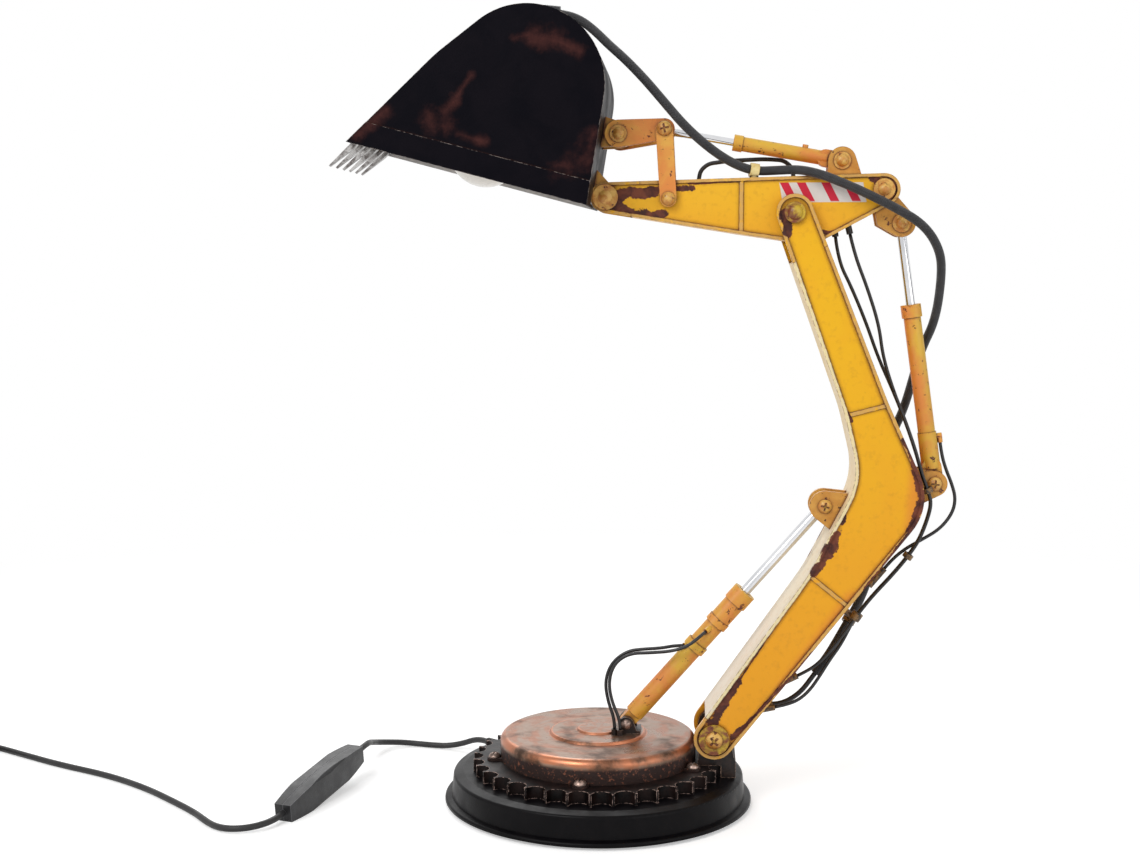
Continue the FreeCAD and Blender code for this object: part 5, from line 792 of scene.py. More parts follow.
def painted(name, low_paint, high_paint, strokes, rim, edge, rim_highlight=CREAM_HIGHLIGHT, specks=0.10,
            corner=2.6, split=(0.06, 0.30), stripes=False, warm_strokes=(), spare_middle=None):
    """Yellow paint over primer. The rim is the distance from the middle plane where the lip begins.

    A pair of distances in spare_middle keeps the worn strokes off the middle of a sheet. The lip
    along each rim gets a painted highlight, and corners get painted shade.
    """
    finish = Finish(name, Specular_IOR_Level=0.35)
    axes = finish.axes(finish.where)
    paint = finish.mix(finish.ramp(axes["Z"], *split), low_paint, high_paint)
    slow = finish.ramp(finish.cloud(34.0, detail=5.0), 0.40, 0.75, 0.0, 0.4)
    paint = finish.mix(slow, paint, low_paint)
    mottle = finish.cloud(300.0)
    paint = finish.mix(finish.ramp(mottle, 0.50, 0.75, 0.0, 0.30), paint, tone(206, 138, 28))
    if warm_strokes:
        warm = finish.ramp(finish.worn(warm_strokes), 0.0, 0.9, 0.0, 0.65)
        paint = finish.mix(warm, paint, tone(228, 132, 46))
    side = finish.math("ABSOLUTE", axes["Y"])
    if stripes:
        paint = hazard(finish, axes, paint)
    # Painted highlight: the lip along each rim, broken up by a noise
    lip_highlight = finish.ramp(side, (rim - 0.25) * MM, (rim + 0.05) * MM)
    lip_highlight = finish.mul(lip_highlight, finish.ramp(finish.cloud(240.0), 0.30, 0.50))
    paint = finish.mix(lip_highlight, paint, rim_highlight)
    openness = finish.openness(corner)
    # Painted shade: corners darkened towards brown by ambient occlusion
    corner_shade = finish.ramp(openness, 0.98, 0.55, 0.0, 0.75)
    paint = finish.mix(corner_shade, paint, tone(110, 58, 24))
    patch = finish.worn(strokes)
    if spare_middle:
        patch = finish.spared(patch, side, *spare_middle)
    chips = finish.group(chip_group, Vector=finish.where, Patch=patch, Scale=125.0, Specks=specks,
                         Corner=finish.ramp(openness, *IN_CORNER))
    rub = finish.rubbed(edge, mottle, 0.42, 0.56)
    bare = finish.most(chips["Bare"], finish.mul(rub, 0.8))
    paint = finish.mix(finish.mul(chips["Edge"], 0.55), paint, tone(176, 104, 40))
    return laid_bare(finish, paint, bare, chips["Height"], 130.0, 700.0, 0.22, 0.48, (0.12, 0.9))


STRIPES_AT = (110.3, 120.0, 133.9, 146.2)
STRIPE_HALF = 2.5
STRIPE_LEAN = 0.52
BOARD_LEAN = 0.35  # share of the stripes' lean that the ends of the board have
BOARD_LEFT, BOARD_RIGHT, BOARD_LOW, BOARD_HIGH = 105.6, 153.4, 359.4, 370.6
BRUSH_EDGE = 0.2
STRIPE_FOOT = 0.9  # the stripes fade in over this height, in mm


def hazard(tree, axes, paint):
    """Red bars on a white board that was painted on by hand."""
    x_mm = tree.div(axes["X"], MM)
    z_mm = tree.div(axes["Z"], MM)
    lean = tree.mul(tree.sub(z_mm, (BOARD_LOW + BOARD_HIGH) / 2), STRIPE_LEAN)
    lane = tree.add(x_mm, lean)
    board_lane = tree.add(x_mm, tree.mul(lean, BOARD_LEAN))
    board = None
    for value, at, way in ((board_lane, BOARD_LEFT, 1), (board_lane, BOARD_RIGHT, -1),
                           (z_mm, BOARD_LOW, 1), (z_mm, BOARD_HIGH, -1)):
        limit = tree.ramp(value, at - way * BRUSH_EDGE, at + way * BRUSH_EDGE)
        board = limit if board is None else tree.mul(board, limit)
    bars = None
    for place in STRIPES_AT:
        off = tree.math("ABSOLUTE", tree.sub(lane, place))
        bar = tree.ramp(off, STRIPE_HALF + BRUSH_EDGE, STRIPE_HALF - BRUSH_EDGE)
        bars = bar if bars is None else tree.most(bars, bar)
    inset = tree.ramp(z_mm, BOARD_LOW, BOARD_LOW + STRIPE_FOOT)
    art = tree.mix(tree.mul(bars, inset), tone(222, 214, 208), tone(204, 30, 58))
    return tree.mix(board, paint, art)


print("paint ready,", len(STRIPES_AT), "stripes")

# %% Yellow of the boom and the stick
BOOM_REAR = [
    (2.6, [(178.1, 222.9), (185.5, 205.0)]),
    (3.8, [(185.5, 205.0), (188.9, 187.0), (182.7, 170.1)]),
    (1.9, [(182.7, 170.1), (151.5, 127.2)]), (1.3, [(150.4, 123.5), (81.8, 44.4)]),
]
BOOM_FRONT = [
    (2.0, [(146.5, 186.6), (142.9, 174.4)]), (4.6, [(140.2, 167.6), (135.5, 156.5)]),
    (3.6, [(135.5, 156.5), (127.4, 144.6)]), (0.9, [(121.5, 138.9), (83.8, 78.0)]),
    (3.6, [(83.8, 78.0), (76.0, 66.0)]), (5.2, [(76.0, 66.0), (69.5, 52.9)]),
    (2.4, [(80.5, 44.4), (100.9, 63.5)]),
]
BOOM_HEAD = [(4.4, [(107.3, 352.9), (110.5, 341.2)]), (1.3, [(147.6, 233.6), (145.4, 238.8)])]
BOOM_WARM = [(9.0, [(150.0, 128.0), (112.0, 74.0)]), (8.0, [(186.0, 205.0), (184.0, 172.0)])]
STICK_STROKES = [
    (4.6, [(2.0, 360.0), (19.5, 365.0), (33.7, 366.0)]), (3.2, [(33.7, 366.2), (54.0, 367.7)]),
    (0.9, [(52.7, 370.1), (82.2, 371.4)]), (3.6, [(7.6, 359.2), (21.9, 353.2), (38.6, 352.0)]),
    (1.6, [(128.3, 342.4), (147.1, 341.2)]),
    (3.0, [(147.1, 341.2), (160.9, 351.7), (170.5, 359.9)]),
    (3.0, [(158.2, 372.7), (172.3, 365.7)]),
]
YELLOW_HIGH = tone(243, 184, 20)
YELLOW_LOW = tone(240, 164, 28)
# The painted highlight on the lips, toned down to gold
RIM_GOLD_HIGHLIGHT = tone(214, 166, 90)
STICK_SPLIT = (0.33, 0.37)
finishes = {
    "boom_side_near": painted(
        "boom_paint", YELLOW_LOW, YELLOW_HIGH, BOOM_REAR + BOOM_FRONT + BOOM_HEAD, rim=18.8,
        edge=0.5, rim_highlight=RIM_GOLD_HIGHLIGHT, warm_strokes=BOOM_WARM),
    "stick_side_near": painted(
        "stick_paint", tone(238, 168, 32), tone(241, 182, 34), STICK_STROKES, rim=14.3, edge=0.5,
        rim_highlight=RIM_GOLD_HIGHLIGHT, split=STICK_SPLIT, stripes=True),
    # The front flange is the same yellow paint, drawn near white as a painted highlight
    "boom_front_flange": painted(
        "boom_rim_front", tone(236, 224, 202), tone(238, 206, 140), BOOM_FRONT[1:3], rim=19.4,
        edge=0.8, specks=0.25, spare_middle=(9.0, 18.0)),
    "boom_rear_flange": painted(
        "boom_rim_rear", tone(232, 164, 54), tone(236, 186, 66), BOOM_REAR, rim=19.4,
        edge=0.6, rim_highlight=RIM_GOLD_HIGHLIGHT, specks=0.3, spare_middle=(10.0, 18.5)),
    "stick_top_flange": painted(
        "stick_rim", tone(234, 176, 72), tone(238, 186, 76), STICK_STROKES[:2], rim=14.5,
        edge=0.6, rim_highlight=RIM_GOLD_HIGHLIGHT, split=STICK_SPLIT, specks=0.3),
}
finishes["boom_side_far"] = finishes["boom_side_near"]
finishes["stick_side_far"] = finishes["stick_side_near"]
finishes["stick_bottom_flange"] = finishes["stick_top_flange"]
print("painted plates", len(finishes))

# %% Gold-orange of the brackets, links and cylinders
def golden(name, first, second, scale=60.0, specks=0.25, corner=2.0):
    """Old gold paint drifting towards orange, with painted highlight and painted corner shade."""
    finish = Finish(name, Specular_IOR_Level=0.5)
    # Painted light: faces turned up and to the right lean to the lighter first tone, others to the
    # second
    shading_normal = finish.axes(finish.spots["Normal"])
    lean = finish.mul(finish.add(shading_normal["X"], shading_normal["Z"]), -0.10)
    paint = finish.drift(scale, tone(*first), tone(*second), Bias=lean)
    openness = finish.openness(corner)
    # Painted shade: corners darkened towards brown by ambient occlusion
    corner_shade = finish.ramp(openness, 0.98, 0.5, 0.0, 0.75)
    paint = finish.mix(corner_shade, paint, tone(96, 50, 26))
    chips = finish.group(chip_group, Vector=finish.where, Scale=220.0, Specks=specks,
                         Corner=finish.ramp(openness, *IN_CORNER))
    rub = finish.mul(finish.rubbed(0.5, finish.cloud(420.0), 0.40, 0.58), 0.85)
    paint = finish.mix(rub, paint, tone(128, 62, 32))
    return laid_bare(finish, paint, chips["Bare"], chips["Height"], 200.0, 900.0, 0.25, 0.50,
                     (0.10, 0.8))


bracket_gold = golden("bracket_gold", (216, 160, 72), (196, 134, 52))
link_gold = golden("link_gold", (232, 176, 74), (226, 138, 62), scale=45.0)
barrel_gold = golden("barrel_gold", (222, 176, 56), (222, 136, 62), scale=34.0, specks=0.1)
bolt_brass = golden("bolt_brass", (224, 178, 92), (196, 128, 56), 260.0, specks=0.7, corner=1.2)
foot_brass = golden("foot_brass", (204, 170, 48), (120, 58, 34), 190.0, specks=0.6, corner=1.2)
GOLD_PARTS = (
    (bracket_gold, ("boom_brackets", "stick_brackets", "bucket_lugs", "stick_hinge_sleeve")),
    (link_gold, ("bucket_link", "rocker_links")),
    (barrel_gold, ("boom_cylinder_barrel", "stick_cylinder_barrel", "bucket_cylinder_barrel")),
    (bolt_brass, ("stick_pins", "bucket_pins")),
    (foot_brass, ("boom_pins",)),
)
for gold, nodes in GOLD_PARTS:
    finishes.update((node, gold) for node in nodes)
print("gold finishes", len(GOLD_PARTS))

# %% [markdown]
# ## Dish, ring and base
#
# The dish is copper-plated and has gone pink-grey on top, with rings from the lathe and a speckled
# dark wall. A highlight is painted on its shoulder and steps, and shade into its corners. Its look
# depends on where you are on it, so the pattern is made from the distance to the middle and from
# the height, not from a picture.

# %% Copper dish
# The shoulder, step and hub places below carry a painted highlight
SHOULDER_RISE = (55.0, 57.2)  # radii in mm over which the bright shoulder begins
STEP_RISE, STEP_FALL = (27.0, 28.2), (30.4, 29.4)
HUB_RISE, HUB_FALL = (10.8, 11.8), (13.8, 12.9)
WALL_TOP = (36.6, 34.2)  # heights in mm between which the top turns into the wall
SHOULDER_HEIGHT = (36.0, 37.6)


def copper_dish():
    finish = Finish("old_copper")
    axes = finish.axes(finish.where)
    flat = finish.node("ShaderNodeCombineXYZ", {"X": axes["X"], "Y": axes["Y"]}).outputs[0]
    radius = finish.length(flat)
    turn = finish.vector("MULTIPLY", finish.vector("NORMALIZE", flat), (1.6, 1.6, 0.0))
    lane = finish.node("ShaderNodeCombineXYZ", {"Z": finish.mul(radius, 420.0)}).outputs[0]
    lathe_spot = finish.vector("ADD", turn, lane)

    def rise(value, span):
        return finish.ramp(value, span[0] * MM, span[1] * MM)

    rings = finish.noise(lathe_spot, 1.0, detail=3.0, rough=0.6)
    stretched = finish.vector("MULTIPLY", lathe_spot, (1.0, 1.0, 0.22))
    swirl = finish.noise(stretched, 1.4, warp=0.6)
    cloud = finish.cloud(42.0, detail=6.0, rough=0.6)
    speckle = finish.cloud(420.0, detail=5.0, rough=0.7)
    top = finish.mix(finish.ramp(swirl, 0.42, 0.62), tone(140, 116, 100), tone(146, 96, 70))
    top = finish.mix(finish.ramp(cloud, 0.46, 0.70), top, tone(74, 54, 42))
    top = finish.mix(finish.ramp(rings, 0.60, 0.80, 0.0, 0.55), top, tone(92, 66, 54))
    wall = finish.mix(finish.ramp(speckle, 0.54, 0.68), tone(42, 25, 21), tone(138, 84, 62))
    on_wall = rise(axes["Z"], WALL_TOP)
    colour = finish.mix(on_wall, top, wall)
    shoulder = finish.mul(rise(axes["Z"], SHOULDER_HEIGHT), rise(radius, SHOULDER_RISE))
    step = finish.mul(rise(radius, STEP_RISE), rise(radius, STEP_FALL))
    hub_step = finish.mul(rise(radius, HUB_RISE), rise(radius, HUB_FALL))
    # Painted highlight on the shoulder, the step and the hub, broken up by the cloud
    highlight_bands = finish.most(shoulder, finish.most(step, hub_step))
    highlight_bands = finish.mul(highlight_bands, finish.ramp(cloud, 0.66, 0.44))
    colour = finish.mix(highlight_bands, colour, tone(182, 116, 84))
    # Painted shade: corners of the dish darkened by ambient occlusion
    colour = finish.mix(finish.mul(finish.corners(3.0), 0.8), colour, tone(46, 28, 22))
    rough = finish.add(finish.ramp(cloud, 0.35, 0.7, 0.26, 0.52), finish.mul(on_wall, 0.2))
    metal = finish.sub(0.82, finish.mul(on_wall, 0.35))
    uneven = finish.bump(finish.mul(speckle, on_wall), 0.35, 0.8)
    return finish.feed(Base_Color=colour, Roughness=rough, Metallic=metal,
                       Normal=finish.bump(rings, 0.04, 0.7, uneven))


finishes["turntable_dish"] = copper_dish()
print("copper dish")

# %% Cast, rusty, polished and moulded finishes
def cast(name, first, second, scale=90.0, grain_scale=900.0, rough=(0.30, 0.46), metal=0.0,
         grain_height=0.06, corner_shade_tone=None, corner=3.0, edge_glint_and_wear_tone=None, edge=0.4, shine=0.5):
    """A plain finish in two close tones with grain. Used for cast, rusty and moulded parts."""
    finish = Finish(name, Metallic=metal, Specular_IOR_Level=shine)
    colour = finish.drift(scale, tone(*first), tone(*second))
    # Painted shade: corners darkened to the corner tone
    if corner_shade_tone:
        colour = finish.mix(finish.corners(corner), colour, tone(*corner_shade_tone))
    # Pale outer edges: a painted glint, which also reads as worn metal
    if edge_glint_and_wear_tone:
        rub = finish.rubbed(edge, finish.cloud(520.0), 0.42, 0.60)
        colour = finish.mix(rub, colour, tone(*edge_glint_and_wear_tone))
    grain = finish.grain(grain_scale)
    return finish.feed(Base_Color=colour,
                       Roughness=finish.ramp(grain["Smudge"], *MIDDLING, *rough),
                       Normal=finish.bump(grain["Height"], grain_height, 0.7))


# Below, a dark corner tone is painted shade, and a pale edge tone a painted glint on worn edges
base_black = cast("cast_black", (5, 4, 6), (11, 9, 11), rough=(0.28, 0.44), shine=0.09,
                  edge_glint_and_wear_tone=(48, 45, 46))
ring_rust = cast("ring_rust", (8, 6, 6), (30, 19, 17), scale=150.0, grain_scale=500.0,
                 rough=(0.30, 0.56), metal=0.1, grain_height=0.15, corner_shade_tone=(5, 4, 4),
                 shine=0.16, edge_glint_and_wear_tone=(208, 178, 166), edge=0.5)
bracket_black = cast("bracket_black", (14, 12, 12), (44, 30, 25), scale=240.0, rough=(0.28, 0.5),
                     grain_height=0.1, shine=0.35, edge_glint_and_wear_tone=(170, 140, 120))
raw_steel = cast("raw_steel", (120, 118, 116), (92, 90, 90), metal=0.9, rough=(0.35, 0.55))
tooth_steel = cast("tooth_steel", (182, 180, 178), (96, 90, 88), scale=200.0, metal=0.85,
                   rough=(0.24, 0.5), grain_height=0.08, corner_shade_tone=(30, 26, 28))
felt = cast("felt", (34, 34, 36), (48, 47, 48), grain_scale=2400.0, rough=(0.9, 1.0),
            grain_height=0.25)
chrome = cast("chrome", (226, 226, 228), (206, 207, 210), scale=30.0, rough=(0.08, 0.18),
              metal=1.0, grain_height=0.01)
black_plastic = cast("black_plastic", (34, 34, 37), (46, 46, 49), grain_scale=1500.0,
                     rough=(0.34, 0.48), grain_height=0.05, shine=0.35)
black_rubber = cast("black_rubber", (16, 15, 16), (26, 25, 26), grain_scale=1200.0,
                    rough=(0.42, 0.6), grain_height=0.04)
clip_cream = cast("clip_cream", (236, 214, 150), (214, 176, 96), scale=150.0, rough=(0.4, 0.55),
                  corner_shade_tone=(60, 40, 26), corner=1.5)
clip_black = cast("clip_black", (30, 28, 28), (148, 112, 66), scale=420.0, rough=(0.3, 0.5))
screw_steel = cast("screw_steel", (176, 150, 138), (96, 82, 76), scale=300.0, metal=0.8,
                   rough=(0.25, 0.45), corner_shade_tone=(28, 22, 20), corner=1.2)
porcelain = cast("holder_black", (30, 28, 28), (40, 38, 38), rough=(0.2, 0.35), grain_height=0.02)
BY_SLOT = {
    "felt": felt, "base_black": base_black, "ballast_steel": raw_steel, "rusty_steel": ring_rust,
    "fastener_steel": screw_steel, "chrome": chrome, "tooth_steel": tooth_steel,
    "black_plastic": black_plastic, "black_rubber": black_rubber, "plug_plastic": black_plastic,
    "yellow_paint": finishes["boom_side_near"], "orange_paint": link_gold,
}
print("plain finishes", len(BY_SLOT))

# %% [markdown]
# ## Bucket
#
# The bucket is almost black outside, with a few maroon places where the primer shows, and pale
# inside so that it throws the light down. One sheet has both finishes, so the material asks on
# which side of the sheet a point is: it compares the surface's direction with the direction to the
# middle of the bucket.

# %% Bucket black outside and pale inside
SIDE_STROKES = [
    (3.4, [(-44.4, 448.6), (-36.0, 450.4)]), (6.6, [(-34.0, 449.4), (-21.0, 446.6)]),
    (4.2, [(-19.0, 446.0), (-8.4, 441.0)]), (2.4, [(-68.4, 428.4), (-76.6, 416.6)]),
    (4.6, [(-77.4, 414.6), (-83.4, 408.6)]), (8.4, [(-91.0, 402.4), (-83.0, 400.4)]),
    (3.6, [(-76.0, 396.2), (-60.5, 391.8)]),
]
EDGE_STROKES = [
    (6.5, [(-25.7, 379.3), (-9.8, 377.7), (-2.9, 387.4)]), (4.0, [(-2.9, 387.4), (0.1, 396.2)]),
    (4.2, [(-133.8, 395.0), (-116.5, 409.6)]),
]
INSIDE_WALL = (50.9, 50.6)  # distances in mm from the middle plane between which a wall turns pale
BUCKET_HEART = (-0.062, 0.0, 0.412)  # a place inside, from which the sheet is seen
SHEET_SPARED = (16.0, 50.0)


def bucket_finish(name, strokes, sheet=False):
    finish = Finish(name, Specular_IOR_Level=0.05)
    black = finish.drift(50.0, tone(5, 4, 11), tone(11, 8, 15))
    cloud = finish.cloud(75.0, detail=8.0, rough=0.72)
    side = finish.math("ABSOLUTE", finish.axes(finish.where)["Y"])
    patch = finish.worn(strokes)
    if sheet:
        patch = finish.spared(patch, side, *SHEET_SPARED)
    patch = finish.add(patch, finish.spread(finish.cloud(38.0, detail=3.0), 3.0))
    patch = finish.add(patch, finish.spread(cloud, 3.6))
    smoky = finish.mul(finish.ramp(patch, -0.30, 2.20), 0.85)
    colour = finish.mix(smoky, black, tone(82, 46, 42))
    # Pale outer edges: worn metal, and a painted highlight along the rim
    rub = finish.rubbed(0.5, finish.cloud(380.0), 0.46, 0.62)
    colour = finish.mix(rub, colour, tone(150, 140, 134))
    # Painted shade: corners darkened by ambient occlusion
    colour = finish.mix(finish.corners(1.6), colour, tone(62, 34, 26))
    if sheet:
        outwards = finish.vector("SUBTRACT", finish.where, BUCKET_HEART)
        inside = finish.ramp(finish.dot(finish.spots["Normal"], outwards), 0.0005, -0.0005)
    else:
        inside = finish.ramp(side, INSIDE_WALL[0] * MM, INSIDE_WALL[1] * MM)
    pale = finish.drift(60.0, tone(214, 210, 206), tone(188, 184, 182))
    grain = finish.grain(600.0)
    soft = finish.bump(grain["Height"], 0.08, 0.6)
    return finish.feed(Base_Color=finish.mix(inside, colour, pale),
                       Roughness=finish.ramp(grain["Smudge"], *MIDDLING, 0.36, 0.56),
                       Normal=finish.bump(cloud, 0.10, 0.4, soft))


bucket_side = bucket_finish("bucket_side", SIDE_STROKES + EDGE_STROKES)
finishes.update({
    "bucket_side_near": bucket_side, "bucket_side_far": bucket_side,
    "bucket_back_sheet": bucket_finish("bucket_sheet", EDGE_STROKES, sheet=True),
    "bucket_teeth": tooth_steel, "boom_foot_bracket": bracket_black,
    "cylinder_foot_bracket": bracket_black, "stick_cable_clip": clip_cream,
    "boom_clips": clip_black, "lamp_holder": porcelain,
})
print("finishes by node", len(finishes))

# %% Put the finishes on the solids
slot_of = {part["node"]: part["material_slot"] for part in frame["record"]["subparts"]}
for node_name, node in frame["nodes"].items():
    chosen = finishes.get(node_name) or BY_SLOT.get(slot_of[node_name])
    if chosen is None:
        print("no finish for", node_name, "because a turned piece replaces it")
        continue
    if not node.data.materials:
        node.data.materials.append(chosen)
    for place in node.material_slots:
        place.material = chosen
print("painted", len(frame["nodes"]), "nodes")

# %% [markdown]
# ## Sleeve of the cables
#
# The thick lamp cable has a braided sleeve and the mains cord is smooth. The braid is far too fine
# to model strand by strand, so crossed waves along the skin's own coordinates raise it.

# %% Cable finishes
def sleeve_finish(name, strands, pitch, first, second):
    finish = Finish(name, Specular_IOR_Level=0.4, Sheen_Weight=0.15)
    tint = finish.drift(160.0, tone(*first), tone(*second))
    weave = finish.group(sleeve_group, Vector=finish.spots["UV"], Strands=strands,
                         Pitch=pitch)["Height"]
    # Painted shade in the gaps between the strands of the braid
    colour = finish.mix(finish.ramp(weave, -0.2, 0.9, 0.75, 0.0), tint, tone(8, 8, 9))
    return finish.feed(Base_Color=colour, Roughness=finish.ramp(weave, -0.5, 1.0, 0.62, 0.44),
                       Normal=finish.bump(weave, 0.16, 0.8))


braided = sleeve_finish("braided_sleeve", 14.0, 0.72, (34, 34, 38), (50, 49, 52))
hose_rubber = cast("hose_rubber", (15, 14, 16), (28, 26, 28), grain_scale=1600.0,
                   rough=(0.34, 0.5), grain_height=0.03)
mains_cord.data.materials.append(black_rubber)
for name, piece in on_arm.items():
    piece.data.materials.append(braided if name.startswith("lamp_cable") else hose_rubber)
print("cables", len(on_arm) + 1)

# %% [markdown]
# ## Switch with its seam
#
# The switch is two moulded halves, and the seam between them runs along its top. The seam could be
# cut into the solid, but it is only half a millimetre wide. It is drawn where the distance
# from the middle plane of the switch is almost nothing, as a dark line with a small groove.

# %% Moulded halves of the switch
SWITCH_ACROSS = Vector((-0.95079, 0.30984, 0.0))
SEAM = (0.45, 0.2)  # distances in mm from the seam's middle between which it gets dark


def switch_finish():
    finish = Finish("switch_shell", Specular_IOR_Level=0.4)
    from_middle = finish.vector("SUBTRACT", finish.where, tuple(SWITCH_MIDDLE * MM))
    off = finish.math("ABSOLUTE", finish.dot(from_middle, tuple(SWITCH_ACROSS)))
    seam = finish.ramp(off, SEAM[0] * MM, SEAM[1] * MM)
    shell = finish.drift(300.0, tone(22, 22, 24), tone(34, 34, 36))
    colour = finish.mix(seam, shell, tone(6, 6, 7))
    # Painted highlight along the outer edges of the switch
    colour = finish.mix(finish.mul(finish.edges(0.6), 0.5), colour, tone(120, 120, 124))
    grain = finish.grain(1500.0)
    groove = finish.bump(finish.sub(1.0, seam), 0.3, 0.9)
    return finish.feed(Base_Color=colour,
                       Roughness=finish.ramp(grain["Smudge"], *MIDDLING, 0.34, 0.48),
                       Normal=finish.bump(grain["Height"], 0.10, 0.8, groove))


switch_plastic = switch_finish()
for node_name in ("switch_shell_near", "switch_shell_far"):
    for place in frame["nodes"][node_name].material_slots:
        place.material = switch_plastic
print("switch seam at", [round(v, 4) for v in SWITCH_MIDDLE])

# %% [markdown]
# ## Turned shapes: bulb and cord sleeve
#
# The bulb and the sleeve of the cord are round about an axis. A stack of cylinders would show
# steps, and a modifier would hide the shape in settings. A turned profile is a list of places and
# radii that can be read like a drawing, and the thread of the cap is the same list with a radius
# that also depends on the turn.

# %% Turned profiles
TURNED_SHARP = 38


def turned(name, profile, origin, direction, sides=72, closed=False, wave=None):
    """A round body from places along an axis and radii, in mm. A wave adds to the radius."""
    axis = Vector(direction).normalized()
    side = axis.orthogonal().normalized()
    across = axis.cross(side)
    shape = bmesh.new()
    rings = []
    for reach, radius in profile:
        middle = Vector(origin) + axis * reach
        if radius <= 0:
            rings.append([shape.verts.new(middle * MM)])
            continue
        ring = []
        for k in range(sides):
            turn = 2 * math.pi * k / sides
            full = radius + (wave(reach, turn) if wave else 0.0)
            out = side * math.cos(turn) + across * math.sin(turn)
            ring.append(shape.verts.new((middle + out * full) * MM))
        rings.append(ring)
    if closed:
        rings.append(rings[0])
    for low, high in zip(rings, rings[1:]):
        for k in range(sides):
            n = (k + 1) % sides
            if len(low) == 1:
                shape.faces.new((low[0], high[n], high[k]))
            elif len(high) == 1:
                shape.faces.new((low[k], low[n], high[0]))
            else:
                shape.faces.new((low[k], low[n], high[n], high[k]))
    bmesh.ops.recalc_face_normals(shape, faces=shape.faces)
    return new_piece(name, mesh_of(name, shape), TURNED_SHARP)


print("a turned edge is sharp from", TURNED_SHARP, "degrees")

# %% Bulb
BULB_START = (-9.43, 0.0, 455.01)
BULB_WAY = (-0.6691, 0.0, -0.7431)
GLOBE_MIDDLE = 85.5
GLOBE_RADIUS = 22.4
GLOBE_STEPS = 32
NECK_RADIUS = 9.0
THREAD_PITCH = 2.82
THREAD_HEIGHT = 0.28
THREAD_FROM, THREAD_TO = 30.5, 43.5


def cap_thread(reach, turn):
    """The round thread of a small screw cap."""
    if not THREAD_FROM < reach < THREAD_TO:
        return 0.0
    return THREAD_HEIGHT * math.sin(2 * math.pi * reach / THREAD_PITCH - turn)


glass_profile = [(46.0, 0.0), (46.0, 6.6), (47.5, 7.4), (51.0, 8.3), (56.0, 8.8),
                 (61.0, NECK_RADIUS)]
first_turn = math.asin(NECK_RADIUS / GLOBE_RADIUS)
for n in range(GLOBE_STEPS + 1):
    turn = first_turn + (math.pi - first_turn) * n / GLOBE_STEPS
    glass_profile.append((GLOBE_MIDDLE - GLOBE_RADIUS * math.cos(turn),
                          GLOBE_RADIUS * math.sin(turn)))
glass_profile[-1] = (GLOBE_MIDDLE + GLOBE_RADIUS, 0.0)
cap_profile = [(27.9, 0.0), (27.9, 1.9), (28.3, 2.6), (28.9, 2.9), (29.2, 4.9), (30.0, 6.1)]
cap_profile += [(30.4 + n * 0.235, 6.35) for n in range(57)]
cap_profile += [(44.2, 6.5), (48.2, 6.5), (48.2, 0.0)]
bulb_glass = turned("bulb_glass", glass_profile, BULB_START, BULB_WAY, sides=96)
bulb_cap = turned("bulb_cap", cap_profile, BULB_START, BULB_WAY, wave=cap_thread)
print("bulb", len(glass_profile), "rings of glass and", len(cap_profile), "of the cap")

# %% Sleeve of the mains cord
SLEEVE_MIDDLE = (0.0, 0.0, 10.4)
SLEEVE_WAY = (-0.70711, 0.70711, 0.0)
SLEEVE_RIBS = 7
SLEEVE_STEP = 2.45
sleeve_profile = [(79.6, 2.0), (79.6, 4.8), (83.3, 4.8), (83.3, 3.65), (88.7, 3.65), (88.7, 4.8),
                  (90.8, 4.8), (91.3, 3.9)]
for n in range(SLEEVE_RIBS):
    start = 91.9 + n * SLEEVE_STEP
    thick = 3.75 - 0.16 * n
    sleeve_profile += [(start, thick - 0.55), (start + 0.7, thick - 0.55), (start + 0.9, thick),
                       (start + 2.1, thick - 0.05)]
sleeve_profile += [(109.4, 2.5), (109.7, 2.3), (109.7, 2.0)]
cord_sleeve = turned("cord_sleeve", sleeve_profile, SLEEVE_MIDDLE, SLEEVE_WAY, sides=48,
                     closed=True)
print("sleeve with", SLEEVE_RIBS, "ribs")

# %% Opal glass and the finishes of turned parts
def opal_glass():
    finish = Finish("opal_glass", Coat_Weight=0.6, Coat_Roughness=0.05)
    milk = finish.drift(40.0, tone(244, 240, 232), tone(236, 230, 220))
    smudge = finish.grain(500.0)["Smudge"]
    return finish.feed(Base_Color=milk, Roughness=finish.ramp(smudge, *MIDDLING, 0.22, 0.34))


def dress(piece, finish, slot, body, *replaced):
    """Gives a piece its finish, its body and the nodes it replaces; its kind of surface is not
    used.
    """
    piece.data.materials.clear()
    piece.data.materials.append(finish)
    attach(piece, body)
    if replaced:
        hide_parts(*replaced)


nickel = cast("cap_nickel", (206, 202, 192), (180, 176, 168), metal=1.0, rough=(0.18, 0.34),
              grain_height=0.02, corner_shade_tone=(90, 84, 76), corner=0.8)
dress(bulb_glass, opal_glass(), "opal_glass", "bucket", "bulb")
dress(bulb_cap, nickel, "fastener_steel", "bucket", "bulb")
dress(cord_sleeve, black_rubber, "black_rubber", "base", "cord_strain_relief")
print("turned parts dressed")

# %% [markdown]
# ## Repeats: screw heads and grip ribs
#
# Cross-headed screws sit on the ears of the boom, on the links, on the tabs of the dish and in the
# terminal block, and ribs repeat on the plug. Copies could be placed by hand. A geometry tree does
# it from points that carry a size and a direction: one dome with a cross cut out of it is put on
# every point and turned at random, as screws end up when they are tightened.

